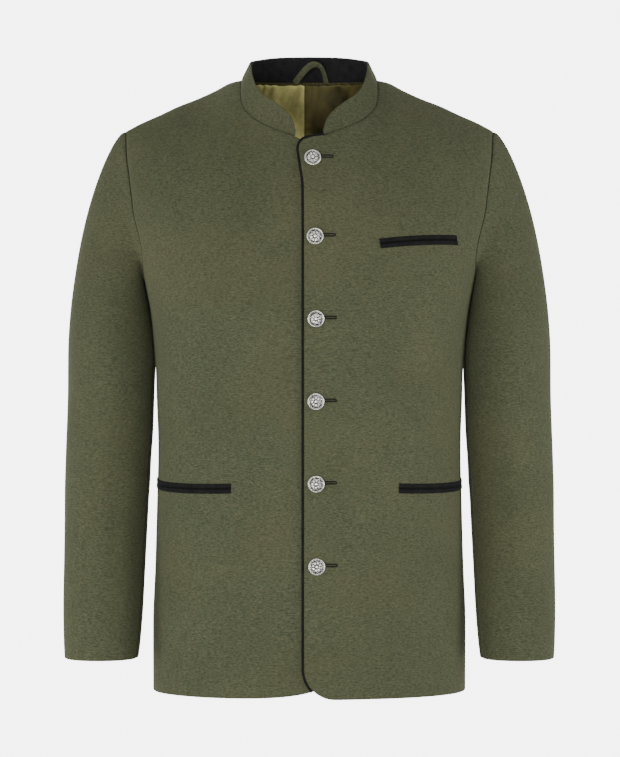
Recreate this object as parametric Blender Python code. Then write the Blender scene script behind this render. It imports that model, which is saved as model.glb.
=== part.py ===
"""A tyrolean loden jacket, filled out as if worn and made of the pieces that its maker cuts.

Frame: +X is the wearer's left, -Y the front and +Z up. The origin is midway between the two
points where the collar seam meets the shoulder seams. Sizes are in millimetres until a mesh
is made. A place on the body is an angle round it (0 at the front, a quarter turn at the
wearer's left) and a level: the height up to the armpits and, above them, the way up to the
shoulder line.
"""

from math import pi, radians

import bpy
import numpy as np

MM = 0.001
FLIP = np.array([-1, 1, 1])


def table(columns, *rows):
    """Rows of numbers under named columns."""
    return dict(zip(columns.split(), np.array(rows, float).T))


# ---- Cloth, seams and laps
LODEN = 2.0
SATIN = 1.0
BRAID = 1.2
SEAM = 0.3
LAP = 3.2
LAP_FLAT, LAP_END = 30, 70

# ---- The body of the jacket
HEM = -731
ARMPIT = -250
OVER_SHOULDER = 314
RIDGE_Y = 5
SIDE_SEAM = radians(98)
BODY = table(
    "level half_width front_depth back_depth squareness",
    (-731, 187.2, 130, 118, 2.3),
    (-650, 187.2, 129, 122, 2.3),
    (-580, 184.8, 128, 118, 2.35),
    (-500, 182.3, 127, 109, 2.4),
    (-440, 181.4, 127, 106, 2.4),
    (-385, 183, 128, 109, 2.45),
    (-340, 184.4, 129, 113, 2.5),
    (-290, 188.6, 129, 118, 2.6),
    (-250, 195.6, 128, 121, 2.7),
    (-205, 206.5, 128, 122, 2.8),
    (-150, 222.5, 128, 122, 2.8),
    (-55, 229, 128, 122, 2.8),
    (64, 232, 128, 122, 2.8),
)
SHOULDER = table(
    "x height",
    (0, 10),
    (40, 7),
    (80, 0),
    (95, -3.6),
    (113, -13),
    (135, -23),
    (158, -32),
    (179, -42),
    (202, -52),
    (222, -62),
    (240, -71),
)
NAPE_RISE = 45
NECK_HALF_WIDTH = 82
ARMHOLE = table(
    "height_share front_angle back_angle",
    (0.02, 98, 98),
    (0.035, 86, 105),
    (0.09, 75, 110),
    (0.2, 67, 114),
    (0.48, 61.8, 118),
    (0.67, 62.6, 118),
    (0.83, 64, 117),
    (1, 64, 116),
)
FOLDS = table(
    "angle level tilt length width depth",
    (-12, -500, 28, 90, 22, 1.6),
    (52, -300, -35, 80, 20, 1.6),
    (-50, -300, 35, 80, 20, 1.4),
    (140, -420, 20, 110, 26, 2.2),
    (215, -400, -24, 110, 26, 2.2),
    (180, -330, 6, 90, 30, 1.6),
)

# ---- The front edges: x across the body towards the wearer's own side of each front
CORNER_RADIUS = 36
CORNER_EDGE_ROWS = (0.55, 1, 1.9)
CORNER_SIDE_ROWS = (0.4, 0.9, 1.85)
OVER_EDGE = table(
    "z x",
    (-731, -6),
    (-200, -6),
    (-135, -6.3),
    (-113, -9.2),
    (-92, -12.2),
)
OVER_TOP = table("x z", (-12.2, -92), (-10.8, -85.5), (-4, -79.9), (17.6, -75.4))
UNDER_EDGE = table("z x", (-731, -22), (-100, -22))
UNDER_TOP = table("x z", (-22, -92), (-15, -90), (0, -84.5), (17.6, -75.4))
UNDER_HEM_RISE, UNDER_HEM_RUN = 17, 30

# ---- The stand collar: its seam, and its free edge, from a front end to the middle of the back
COLLAR = table(
    "station seam_x seam_z edge_x edge_y edge_z",
    (0.00, 17.6, -75.4, 17.2, -93, -70),
    (0.06, 25, -72, 20, -91, -58),
    (0.16, 40.6, -66, 29, -84, -45),
    (0.28, 58, -57, 44, -71, -32),
    (0.38, 71, -47, 57, -57, -22),
    (0.46, 80, -33, 66, -36, -6),
    (0.53, 82, -15, 70.5, -14, 12),
    (0.60, 82, 0, 71.5, 8, 21),
    (0.75, 64, 1.5, 57.5, 41, 28),
    (0.88, 34, 2.5, 30, 56, 32),
    (1.00, 0, 3, 0, 60, 33),
)
SHOULDER_STATION = 0.60
COLLAR_RISE = (0, 0.3, 0.65, 1)
COLLAR_LAP_FLAT, COLLAR_LAP_RUN = 10, 40
COLLAR_SEAM = 0.38
FACING_START = 0.15

# ---- Sleeves: level sections below the armhole, for the wearer's left
SLEEVE = table(
    "z middle_x middle_y half_width half_depth",
    (-347, 238.1, 14, 52.5, 70),
    (-385, 238.7, 11, 52.1, 68),
    (-433, 239.8, 8, 52.2, 65),
    (-481, 241.5, 5, 51.7, 62),
    (-529, 243.4, -2, 49.8, 59),
    (-577, 244.5, -10, 48.7, 57),
    (-625, 245.6, -19, 47.6, 54),
    (-673, 246.7, -28, 45.3, 51),
    (-691, 247.2, -31, 43.7, 50),
)
SLEEVE_SQUARENESS = 2.2
CAP_STEPS = (0, 0.07, 0.14, 0.22, 0.32, 0.45, 0.62, 0.8, 1)
HEAD_EASE, PIT_EASE, PIT_ROLL = 25, 20, 5
HEAD_FALL, PIT_FALL = 150, 42
PIT_TUCK = 4
BACK_SEAM_SHARE, FRONT_SEAM_SHARE = 0.27, 0.54
SLEEVE_FOLDS = table(
    "turn z length width depth",
    (0.70, -520, 120, 16, 2.4),
    (0.55, -470, 40, 30, 2.0),
    (0.30, -455, 22, 60, 2.4),
    (0.34, -500, 20, 55, 2.0),
)

# ---- Pockets: two jets of braid each, by the middle height and the end nearer the front edge
JET_NEAR, JET_FAR = 0.25, 5.8
JET_THICK = 1.2
JET_LIFT = 0.8
POCKETS = {
    "chest_welt": ("left", 82, -203, 98, 5.5),
    "hip_left_welt": ("left", 104, -487, 150, 0),
    "hip_right_welt": ("right", 91, -487, 150, 0),
}

# ---- Buttons and buttonholes
BUTTONS = table(
    "x z",
    (3.7, -104),
    (6.6, -195.5),
    (7.7, -290.5),
    (7.7, -386),
    (7.9, -481.5),
    (8.6, -577),
)
BUTTON_LIFT = 0.6
BUTTON_PROFILE = table(
    "radius height petals",
    (1.5, 4.0, 0),
    (3.2, 3.7, 0.35),
    (5.6, 3.3, 0.45),
    (7.7, 2.5, 0.1),
    (8.3, 2.3, 0),
    (9.1, 2.9, 0),
    (9.8, 2.4, 0),
    (10, 1.2, 0),
    (9.2, 0, 0),
)
PETALS = 6
SHANK_RADIUS = 1.5
HOLE_RADIUS = 2.3
SLIT_LENGTH, SLIT_HALF, EYE_STEPS = 20, 0.6, 11
CUTTER_ABOVE, CUTTER_BELOW = 4, 0.35

# ---- Inside the neck
LINING_HALF_WIDTH = 118
LINING_SEAM_X = -6
LINING_TOP, LINING_BOTTOM = 0.095, 0.1
LINING_GAP = 0.6
TAPE_HALF_WIDTH, TAPE_HEIGHT, TAPE_BAND = 66, -60, (0.075, 0.02)
LOOP = {"middle_x": 1, "half_span": 19.5, "height": 25.5, "lean": 9}
LOOP_ROLL = radians(75)
LOOP_HALF_WIDTH, LOOP_HALF_THICK = 2.9, 0.8
PIPING_WIDTH, PIPING_DEPTH, PIPING_SHORT = 2.8, 0.4, 0.25

# ---- Lengths that carry a turn to millimetres: a radian round the body, a turn round a sleeve
RADIAN_LENGTH, SLEEVE_GIRTH = 140, 380

# ---- How finely each piece is divided
COLUMNS_FRONT = 12
ROWS_BELOW, ROWS_EDGE, ROWS_TOP, ROWS_NECK = 11, 4, 3, 6
BACK_NECK_STATIONS = 4
SIDES_BUTTON = 24
SIDES_LOOP, RINGS_LOOP = 8, 15
LINE_STEPS = 500
AHEAD = slice(0, 200)

COLOURS = {
    "loden": (0.105, 0.112, 0.062, 1),
    "black_velvet": (0.008, 0.008, 0.008, 1),
    "satin": (0.19, 0.165, 0.045, 1),
    "tape": (0.05, 0.046, 0.018, 1),
    "old_silver": (0.42, 0.41, 0.38, 1),
}


def smooth(places, values, at):
    """A curve through the points (places, values) with no overshoot, read at `at`."""
    places, values = np.asarray(places, float), np.asarray(values, float)
    at = np.clip(np.asarray(at, float), places[0], places[-1])
    run = np.diff(places)
    slope = np.diff(values) / run
    same_way = slope[:-1] * slope[1:] > 0
    total = np.where(same_way, slope[:-1] + slope[1:], 1)
    inner = np.where(same_way, 2 * slope[:-1] * slope[1:] / total, 0)
    tangent = np.concatenate([slope[:1], inner, slope[-1:]])
    i = np.clip(np.searchsorted(places, at) - 1, 0, len(run) - 1)
    t = (at - places[i]) / run[i]
    start = values[i] * (1 + 2 * t) * (1 - t) ** 2 + run[i] * tangent[i] * t * (1 - t) ** 2
    end = values[i + 1] * t**2 * (3 - 2 * t) - run[i] * tangent[i + 1] * t**2 * (1 - t)
    return start + end


def ease(t):
    """A smooth step from 0 to 1."""
    t = np.clip(t, 0, 1)
    return t * t * (3 - 2 * t)


def unit(v):
    """Vectors at length 1."""
    return v / np.maximum(np.linalg.norm(v, axis=-1, keepdims=True), 1e-12)


def body_size(name, level):
    return smooth(BODY["level"], BODY[name], level)


def shoulder_height(x, in_front):
    """The height of the shoulder line over x, with the back's rise to the nape."""
    x = np.abs(x)
    nape = NAPE_RISE * np.clip(1 - (x / NECK_HALF_WIDTH) ** 2, 0, 1) ** 1.3
    return smooth(SHOULDER["x"], SHOULDER["height"], x) + np.where(in_front, 0, nape)


def shoulder_share(level):
    """How far up from the armpits to the shoulder line a level is, from 0 to 1."""
    return np.sin(np.clip((level - ARMPIT) / OVER_SHOULDER, 0, 1) * pi / 2)


def body(angle, level):
    """The body's surface: squared ovals below the armpits, domed in to the shoulder line above."""
    angle, level = np.broadcast_arrays(np.asarray(angle, float), np.asarray(level, float))
    aside, ahead = np.sin(angle), np.cos(angle)
    in_front = ahead > 0
    n = body_size("squareness", level)
    reach = (np.abs(aside) ** n + np.abs(ahead) ** n) ** (-1 / n)
    x = body_size("half_width", level) * reach * aside
    share = shoulder_share(level)
    z = np.where(level < ARMPIT, level, ARMPIT + (shoulder_height(x, in_front) - ARMPIT) * share)
    dome = np.where(in_front, 2 - 0.4 * ease(np.abs(x) / 80), 1.75)
    shrink = np.clip(1 - share**dome, 0, 1) ** (1 / dome)
    depth = np.where(in_front, body_size("front_depth", level), body_size("back_depth", level))
    y = RIDGE_Y * share - depth * shrink * reach * ahead
    return np.stack([x, y, z], axis=-1)


def seen_from_front(x, z, in_front=True):
    """The angle and level of the point of the front, or of the back, at x and height z."""
    x, z = np.asarray(x, float), np.asarray(z, float)
    share = np.clip((z - ARMPIT) / (shoulder_height(x, in_front) - ARMPIT), 0, 1)
    level = np.where(z < ARMPIT, z, ARMPIT + OVER_SHOULDER * np.arcsin(share) * 2 / pi)
    n = body_size("squareness", level)
    aside = np.clip(x / body_size("half_width", level), -1, 1)
    ahead = (1 - np.abs(aside) ** n) ** (1 / n)
    angle = np.arctan2(aside, ahead)
    return np.stack([angle if in_front else pi - angle, level], axis=-1)


def body_normal(angle, level):
    """The way out of the body's surface."""
    round_it = body(angle + 0.002, level) - body(angle - 0.002, level)
    up_it = body(angle, level + 0.5) - body(angle, level - 0.5)
    return unit(np.cross(round_it, up_it))


def fold_depth(angle, level):
    """The soft troughs: each a long bell across its width and along its length."""
    total = 0
    for a, up, tilt, length, width, depth in zip(*FOLDS.values()):
        across = np.remainder(angle - radians(a) + pi, 2 * pi) - pi
        dx, dz = across * RADIAN_LENGTH, level - up
        along = dx * np.cos(radians(tilt)) + dz * np.sin(radians(tilt))
        beside = dz * np.cos(radians(tilt)) - dx * np.sin(radians(tilt))
        total = total + depth * np.exp(-((along / length) ** 2) - (beside / width) ** 2)
    return total


def body_wall(places, side=1, lap=0, thick=LODEN):
    """Outer and inner points of a panel whose grid of (angle, level) places is on one side."""
    angle, level = places[..., 0], places[..., 1]
    normal = body_normal(angle, level)
    normal[..., 1] = np.where(level > ARMPIT + OVER_SHOULDER - 0.01, 0, normal[..., 1])
    normal = unit(normal)
    outer = body(angle, level)
    raised = lap * (1 - ease((outer[..., 0] - LAP_FLAT) / (LAP_END - LAP_FLAT)))
    outer = outer + normal * (raised - fold_depth(angle * side, level))[..., None]
    return outer, outer - normal * thick


def patch(left, right, bottom, top, across, up):
    """A grid of places spanned between four edges, each edge bending the grid near it."""
    across, up = across[None, :, None], up[:, None, None]
    sides = (1 - across) * left[:, None] + across * right[:, None]
    ends = (1 - up) * bottom[None] + up * top[None]
    low = (1 - across) * bottom[0] + across * bottom[-1]
    high = (1 - across) * top[0] + across * top[-1]
    return sides + ends - (1 - up) * low - up * high


def armhole(angles, count):
    """Evenly spaced places from the armpit up to the shoulder along one half of the armhole."""
    rows = np.arange(len(ARMHOLE["height_share"]))
    fine = np.linspace(0, rows[-1], 400)
    angle = np.radians(smooth(rows, ARMHOLE[angles], fine))
    share = smooth(rows, ARMHOLE["height_share"], fine)
    level = ARMPIT + OVER_SHOULDER * np.arcsin(np.clip(share, 0, 1)) * 2 / pi
    points = body(angle, level)
    steps = np.linalg.norm(np.diff(points, axis=0), axis=1)
    length = np.concatenate([[0], np.cumsum(steps)])
    at = np.linspace(0, length[-1], count + 1)
    return np.stack([np.interp(at, length, angle), np.interp(at, length, level)], axis=-1)


def collar_stations():
    """The stations of the collar's front part, and those from the shoulder to the nape."""
    front = SHOULDER_STATION * np.linspace(0, 1, ROWS_NECK + 1)
    back = np.linspace(SHOULDER_STATION, 1, BACK_NECK_STATIONS + 1)
    return front, back


def neckline(stations, in_front):
    """Places along the neck seam."""
    x = smooth(COLLAR["station"], COLLAR["seam_x"], stations)
    z = smooth(COLLAR["station"], COLLAR["seam_z"], stations)
    z = np.where(stations == SHOULDER_STATION, shoulder_height(x, in_front), z)
    return seen_from_front(x, z, in_front)


ROWS_ABOVE = ROWS_EDGE + ROWS_TOP + ROWS_NECK
SHOULDER_SPREAD = np.linspace(0, 1, COLUMNS_FRONT + 1) ** 1.15


def along(points_x, points_z, count):
    """Evenly spaced points along a short open line."""
    length = np.concatenate([[0], np.cumsum(np.hypot(np.diff(points_x), np.diff(points_z)))])
    at = np.linspace(0, length[-1], count + 1)
    return np.stack([smooth(length, points_x, at), smooth(length, points_z, at)], axis=-1)


def front_places(edge, top_line, rounded):
    """The grid of a front: hem, side seam and armhole, shoulder, and neckline and front edge."""
    lowest = HEM + CORNER_RADIUS * (1 - np.sqrt(0.5)) if rounded else HEM + UNDER_HEM_RISE
    edge_z = np.linspace(lowest, ARMPIT + 4, ROWS_BELOW + 1)
    if rounded:
        edge_z[1:4] = HEM + CORNER_RADIUS * np.array(CORNER_EDGE_ROWS)
        edge_z[4:] = np.linspace(edge_z[3], ARMPIT + 4, ROWS_BELOW - 2)[1:]
    upper_z = np.linspace(edge_z[-1], edge["z"][-1], ROWS_EDGE + 1)[1:]
    edge_z = np.concatenate([edge_z, upper_z])
    edge_x = smooth(edge["z"], edge["x"], edge_z)
    if rounded:
        below = np.clip(HEM + CORNER_RADIUS - edge_z, 0, CORNER_RADIUS)
        edge_x += CORNER_RADIUS - np.sqrt(CORNER_RADIUS**2 - below**2)
    top_points = along(top_line["x"], top_line["z"], ROWS_TOP)[1:]
    left = np.concatenate(
        [
            seen_from_front(edge_x, edge_z),
            seen_from_front(top_points[:, 0], top_points[:, 1]),
            neckline(collar_stations()[0][1:], True),
        ]
    )
    arm = armhole("front_angle", ROWS_ABOVE)
    side_level = np.linspace(HEM, arm[0, 1], ROWS_BELOW + 1)
    if rounded:
        side_level[1:4] = HEM + CORNER_RADIUS * np.array(CORNER_SIDE_ROWS)
        side_level[4:] = np.linspace(side_level[3], arm[0, 1], ROWS_BELOW - 2)[1:]
    side = np.stack([np.full(ROWS_BELOW, SIDE_SEAM), side_level[:-1]], axis=-1)
    right = np.concatenate([side, arm])
    top = left[-1] + (right[-1] - left[-1]) * SHOULDER_SPREAD[:, None]
    bottom_angle = left[0, 0] + (SIDE_SEAM - left[0, 0]) * SHOULDER_SPREAD
    bottom_x = body(bottom_angle, HEM)[:, 0]
    if rounded:
        inside = np.clip(CORNER_RADIUS + edge["x"][0] - bottom_x, 0, CORNER_RADIUS)
        rise = CORNER_RADIUS - np.sqrt(CORNER_RADIUS**2 - inside**2)
    else:
        rise = UNDER_HEM_RISE * np.exp(-(bottom_x - bottom_x[0]) / UNDER_HEM_RUN)
    bottom_level = HEM + rise
    bottom_level[0] = left[0, 1]
    bottom_level[-1] = HEM
    bottom = np.stack([bottom_angle, bottom_level], axis=-1)
    up = (right[:, 1] - right[0, 1]) / (right[-1, 1] - right[0, 1])
    return patch(left, right, bottom, top, SHOULDER_SPREAD, up)


def back_places():
    """The grid of the back, from the wearer's left side seam round to the right one."""
    arm = armhole("back_angle", ROWS_ABOVE)
    level = np.linspace(HEM, arm[0, 1], ROWS_BELOW + 1)[:-1]
    left = np.concatenate([np.stack([np.full(ROWS_BELOW, SIDE_SEAM), level], axis=-1), arm])
    right = np.stack([2 * pi - left[:, 0], left[:, 1]], axis=-1)
    neck = neckline(collar_stations()[1], False)
    shoulder = left[-1] + (neck[0] - left[-1]) * (1 - SHOULDER_SPREAD[::-1])[:, None]
    half = np.concatenate([shoulder, neck[1:]])
    other = np.stack([2 * pi - half[:, 0], half[:, 1]], axis=-1)[::-1]
    top = np.concatenate([half, other[1:]])
    across = (top[:, 0] - top[0, 0]) / (top[-1, 0] - top[0, 0])
    bottom = np.stack([left[0, 0] + (right[0, 0] - left[0, 0]) * across, 0 * across + HEM], axis=-1)
    up = (left[:, 1] - left[0, 1]) / (left[-1, 1] - left[0, 1])
    return patch(left, right, bottom, top, across, up)


BORDERS = {
    "first_row": (0, 0, 1),
    "last_row": (0, -1, -2),
    "first_column": (1, 0, 1),
    "last_column": (1, -1, -2),
}


def pull_in(walls, **sides):
    """Move chosen borders of a wall inwards along its outer grid by half a seam."""
    moved = [grid.copy() for grid in walls]
    for name, part in sides.items():
        axis, at, beside = BORDERS[name]
        lines = np.moveaxis(walls[0], axis, 0)
        step = unit(lines[beside, part] - lines[at, part]) * SEAM / 2
        for grid in moved:
            np.moveaxis(grid, axis, 0)[at, part] += step
    return moved


def mirrored(grid):
    """The same grid on the wearer's other side, still facing outwards."""
    return grid[:, ::-1] * FLIP


def finish(name, points, faces, material):
    """One closed solid as an object of its own, in metres."""
    mesh = bpy.data.meshes.new(name)
    mesh.from_pydata((np.asarray(points) * MM).tolist(), [], [list(map(int, f)) for f in faces])
    mesh.shade_smooth()
    mesh.set_sharp_from_angle(angle=radians(50))
    mesh.materials.append(material_for(name, material))
    piece = bpy.data.objects.new(name, mesh)
    bpy.context.collection.objects.link(piece)
    return piece


def material_for(name, finish_name):
    """A plain Principled material for one piece."""
    material = bpy.data.materials.new(name)
    material.use_nodes = True
    shader = material.node_tree.nodes["Principled BSDF"]
    metal = finish_name == "old_silver"
    shader.inputs["Base Color"].default_value = COLOURS[finish_name]
    shader.inputs["Metallic"].default_value = 1.0 if metal else 0.0
    shader.inputs["Roughness"].default_value = 0.4 if metal else 0.9
    return material


def cloth(name, walls, material):
    """A wall of cloth between an outer and an inner grid, closed round its four borders."""
    outer, inner = walls
    rows, columns = outer.shape[:2]
    index = np.arange(rows * columns).reshape(rows, columns)
    under = index + rows * columns

    def halves(a, b, c, d, turned=False):
        a, b, c, d = (corner.ravel() for corner in (a, b, c, d))
        turned = np.broadcast_to(turned, a.shape)
        first = np.stack([a, b, np.where(turned, d, c)], axis=-1)
        return np.concatenate([first, np.stack([np.where(turned, b, a), c, d], axis=-1)])

    low, high = index[:-1, :-1], index[1:, 1:]
    right_side = outer[:-1, :-1, 0] + outer[1:, 1:, 0] < 0
    inner_wall = (under[:-1, :-1], under[1:, :-1], under[1:, 1:], under[:-1, 1:])
    last_row = (index[-1, :-1], index[-1, 1:], under[-1, 1:], under[-1, :-1])
    first_row = (under[0, :-1], under[0, 1:], index[0, 1:], index[0, :-1])
    faces = np.concatenate(
        [
            halves(low, index[:-1, 1:], high, index[1:, :-1], right_side.ravel()),
            halves(*inner_wall, right_side.ravel()),
            halves(*first_row, ~right_side[0]),
            halves(*last_row, right_side[-1]),
            halves(index[:-1, 0], index[1:, 0], under[1:, 0], under[:-1, 0]),
            halves(under[1:, -1], index[1:, -1], index[:-1, -1], under[:-1, -1]),
        ]
    )
    points = np.concatenate([outer.reshape(-1, 3), inner.reshape(-1, 3)])
    return finish(name, points, faces, material)


def grid_normals(grid):
    """The way out of a grid's surface at each of its points."""
    return unit(np.cross(np.gradient(grid, axis=1), np.gradient(grid, axis=0)))


def read_grid(grid, rows, columns):
    """A grid read between its lines, at matching arrays of row and column numbers."""
    r = np.clip(np.floor(rows).astype(int), 0, grid.shape[0] - 2)
    c = np.clip(np.floor(columns).astype(int), 0, grid.shape[1] - 2)
    u, v = (rows - r)[..., None], (columns - c)[..., None]
    low = grid[r, c] * (1 - v) + grid[r, c + 1] * v
    high = grid[r + 1, c] * (1 - v) + grid[r + 1, c + 1] * v
    return low * (1 - u) + high * u


def row_at_height(grid, column, height):
    """The row number at which a column of a grid passes a height."""
    line = read_grid(grid, np.arange(grid.shape[0], dtype=float), np.full(grid.shape[0], column))
    return np.interp(height, line[:, 2], np.arange(grid.shape[0]))


def lying_on(grid, columns, heights, lift, thick):
    """Walls of a strip on a panel: heights has a row of heights for each of the columns."""
    rows = np.array([[row_at_height(grid, c, z) for c, z in zip(columns, row)] for row in heights])
    at = (rows, np.broadcast_to(columns, rows.shape))
    points, normals = read_grid(grid, *at), unit(read_grid(grid_normals(grid), *at))
    return points + normals * (lift + thick), points + normals * lift


def lines_between(start, stop):
    """A panel's own lines between two line numbers, with the two ends."""
    inner = np.arange(np.floor(start) + 1, np.ceil(stop))
    inner = inner[(inner > start + 0.15) & (inner < stop - 0.15)]
    return np.concatenate([[start], inner, [stop]])


def level_line(panel, height):
    """Column numbers close together across a panel, and its points at one height."""
    columns = np.linspace(0, panel.shape[1] - 1, LINE_STEPS)
    rows = np.array([row_at_height(panel, c, height) for c in columns])
    return columns, read_grid(panel, rows, columns)


def jets(name, panel, near_x, height, length, arch, flip):
    """The two jets of a pocket, above and below its slit."""
    fine, line = level_line(panel, height)
    run = np.concatenate([[0], np.cumsum(np.linalg.norm(np.diff(line, axis=0), axis=1))])
    begin = np.interp(near_x, line[AHEAD, 0], run[AHEAD])
    columns = lines_between(np.interp(begin, run, fine), np.interp(begin + length, run, fine))
    share = (np.interp(columns, fine, run) - begin) / length
    middle = height + arch * (1 - (1 - share) ** 2)
    for part, bottom, top in (("upper", JET_NEAR, JET_FAR), ("lower", -JET_FAR, -JET_NEAR)):
        heights = np.array([middle + bottom, middle + top])
        walls = lying_on(panel, columns, heights, JET_LIFT, JET_THICK)
        if flip:
            walls = [mirrored(wall) for wall in walls]
        cloth(f"{name}_{part}", walls, "black_velvet")


def collar(seam_points, seam_normals, edge_points):
    """The walls of the collar, from its seam up to its free edge, and those of its facing."""
    runs = unit(np.diff(seam_points, axis=0))
    tangent = unit(np.concatenate([runs[:1], runs[1:] + runs[:-1], runs[-1:]]))
    mitre = 1 / np.sum(tangent * np.concatenate([runs, runs[-1:]]), axis=-1, keepdims=True)
    base = seam_points + unit(np.cross(seam_normals, tangent)) * mitre * COLLAR_SEAM
    rise = np.array(COLLAR_RISE)[:, None, None]
    grid = base[None] * (1 - rise) + edge_points[None] * rise
    normals = grid_normals(grid)
    normals[0] = seam_normals
    rows = np.array([FACING_START, *range(1, len(COLLAR_RISE))])
    columns = np.arange(1.0, grid.shape[1] - 1)
    at = np.broadcast_arrays(rows[:, None], columns[None])
    lined, inwards = read_grid(grid, *at), -unit(read_grid(normals, *at))
    facing = lined + inwards * (LODEN + SEAM)
    return (grid, grid - normals * LODEN), (facing, facing + inwards * BRAID)


def sleeve_section(z, turn):
    """The sleeve's level section at height z; turn runs 0 to 1 from outside by way of the back."""
    size = {name: smooth(-SLEEVE["z"], SLEEVE[name], -z) for name in SLEEVE if name != "z"}
    aside, behind = np.cos(turn * 2 * pi), np.sin(turn * 2 * pi)
    n = SLEEVE_SQUARENESS
    reach = (np.abs(aside) ** n + np.abs(behind) ** n) ** (-1 / n)
    x = size["middle_x"] + size["half_width"] * reach * aside
    y = size["middle_y"] + size["half_depth"] * reach * behind
    return np.stack([x, y, 0 * x + z], axis=-1)


def sleeve_grids():
    """The sleeve from the armhole down: a curved cap, then level sections to the cuff.

    Each cap line is a cubic that leaves the armhole along the body and comes down into the
    sleeve. At the armpit it turns over and down within its own width.
    """
    front, back = armhole("front_angle", ROWS_ABOVE), armhole("back_angle", ROWS_ABOVE)
    ring = np.concatenate([back[::-1], front[1:]])
    turn = np.linspace(0, 1, len(ring))
    start = body(ring[:, 0], ring[:, 1])
    normal = body_normal(ring[:, 0], ring[:, 1])
    normal[[0, -1], 1] = 0
    normal = unit(normal)
    tangent = np.roll(start[:-1], -1, axis=0) - np.roll(start[:-1], 1, axis=0)
    tangent = unit(np.concatenate([tangent, tangent[:1]]))
    away = unit(np.cross(tangent, normal))
    high = (np.cos(turn * 2 * pi) * 0.5 + 0.5)[:, None]
    leave = start + away * SEAM
    out_handle = leave + away * (PIT_EASE + (HEAD_EASE - PIT_EASE) * high**2)
    out_handle += normal * PIT_ROLL * (1 - high)
    landing = sleeve_section(SLEEVE["z"][0], turn)
    in_handle = landing + np.array([0, 0, 1]) * (PIT_FALL + (HEAD_FALL - PIT_FALL) * high**1.5)
    in_handle[:, 0] -= PIT_TUCK * ((1 - high) ** 2)[:, 0]
    t = np.array(CAP_STEPS)[:, None, None] ** 1.15
    cap = (
        leave * (1 - t) ** 3
        + out_handle * 3 * t * (1 - t) ** 2
        + in_handle * 3 * t**2 * (1 - t)
        + landing * t**3
    )
    arm = np.stack([sleeve_section(z, turn) for z in SLEEVE["z"][1:]])
    grid = np.concatenate([cap, arm])[::-1]
    ahead = np.concatenate([grid[:, -2:-1], grid, grid[:, 1:2]], axis=1)
    normals = unit(np.cross(np.gradient(ahead, axis=1), np.gradient(ahead, axis=0)))[:, 1:-1]
    normals[-1] = normal
    trough = 0
    for at, z, length, width, depth in zip(*SLEEVE_FOLDS.values()):
        beside = (np.remainder(turn - at + 0.5, 1) - 0.5) * SLEEVE_GIRTH
        down = (grid[..., 2] - z) / length
        trough = trough + depth * np.exp(-((beside[None] / width) ** 2) - down**2)
    outer = grid - normals * trough[..., None]
    return outer, outer - normals * LODEN


def sleeves():
    """Both sleeves, each of an upper and an under piece."""
    grids = sleeve_grids()
    last = grids[0].shape[1] - 1
    back_seam, front_seam = round(last * BACK_SEAM_SHARE), round(last * FRONT_SEAM_SHARE)
    everything = slice(None)
    pieces = {
        "under": list(range(back_seam, front_seam + 1)),
        "upper": [*range(front_seam, last), *range(back_seam + 1)],
    }
    for part, columns in pieces.items():
        walls = [grid[:, columns] for grid in grids]
        walls = pull_in(walls, first_column=everything, last_column=everything)
        cloth(f"sleeve_left_{part}", walls, "loden")
        cloth(f"sleeve_right_{part}", [mirrored(wall) for wall in walls], "loden")


def side_axes(outward):
    """The level way across and the way up of a face that looks outward."""
    across = unit(np.cross(np.array([0, 0, 1.0]), outward))
    return across, np.cross(outward, across)


def tube_faces(rings, sides):
    """Four-sided faces between rings of points, and a flat face on each end."""
    index = np.arange(rings * sides).reshape(rings, sides)
    after = np.roll(index, -1, axis=1)
    around = np.stack([index[:-1], index[1:], after[1:], after[:-1]], axis=-1).reshape(-1, 4)
    return [*around.tolist(), index[0].tolist(), index[-1][::-1].tolist()]


def button(name, place, outward, shank_length):
    """A domed button with a raised rim, a ring of petals and a shank behind it."""
    turns = np.arange(SIDES_BUTTON) * 2 * pi / SIDES_BUTTON
    radius = np.concatenate([BUTTON_PROFILE["radius"], [SHANK_RADIUS, SHANK_RADIUS]])
    height = np.concatenate([BUTTON_PROFILE["height"], [0, -shank_length]])
    petals = np.concatenate([BUTTON_PROFILE["petals"], [0, 0]])
    x = radius[:, None] * np.cos(turns)
    y = radius[:, None] * np.sin(turns)
    z = height[:, None] + petals[:, None] * np.cos(PETALS * turns)
    points = np.stack([x, y, z], axis=-1).reshape(-1, 3)
    points = place + points @ np.stack([*side_axes(outward), outward])
    finish(name, points, tube_faces(len(radius), SIDES_BUTTON), "old_silver")


def buttonhole_cutter(number, place, outward):
    """A keyhole: a round eye for the shank, and a slit away from the front edge."""
    opening = np.arcsin(SLIT_HALF / HOLE_RADIUS)
    arc = np.linspace(opening, 2 * pi - opening, EYE_STEPS)
    eye = np.stack([HOLE_RADIUS * np.cos(arc), HOLE_RADIUS * np.sin(arc)], axis=-1)
    outline = np.concatenate([[(SLIT_LENGTH, -SLIT_HALF), (SLIT_LENGTH, SLIT_HALF)], eye])
    across, upwards = side_axes(outward)
    flat = place + outline[:, :1] * across + outline[:, 1:] * upwards
    rings = [flat + outward * CUTTER_ABOVE, flat - outward * (LODEN + CUTTER_BELOW)]
    faces = tube_faces(2, len(outline))
    cutter = finish(f"buttonhole_{number}", np.concatenate(rings), faces, "loden")
    cutter.hide_render = True
    cutter.display_type = "WIRE"
    return cutter


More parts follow.
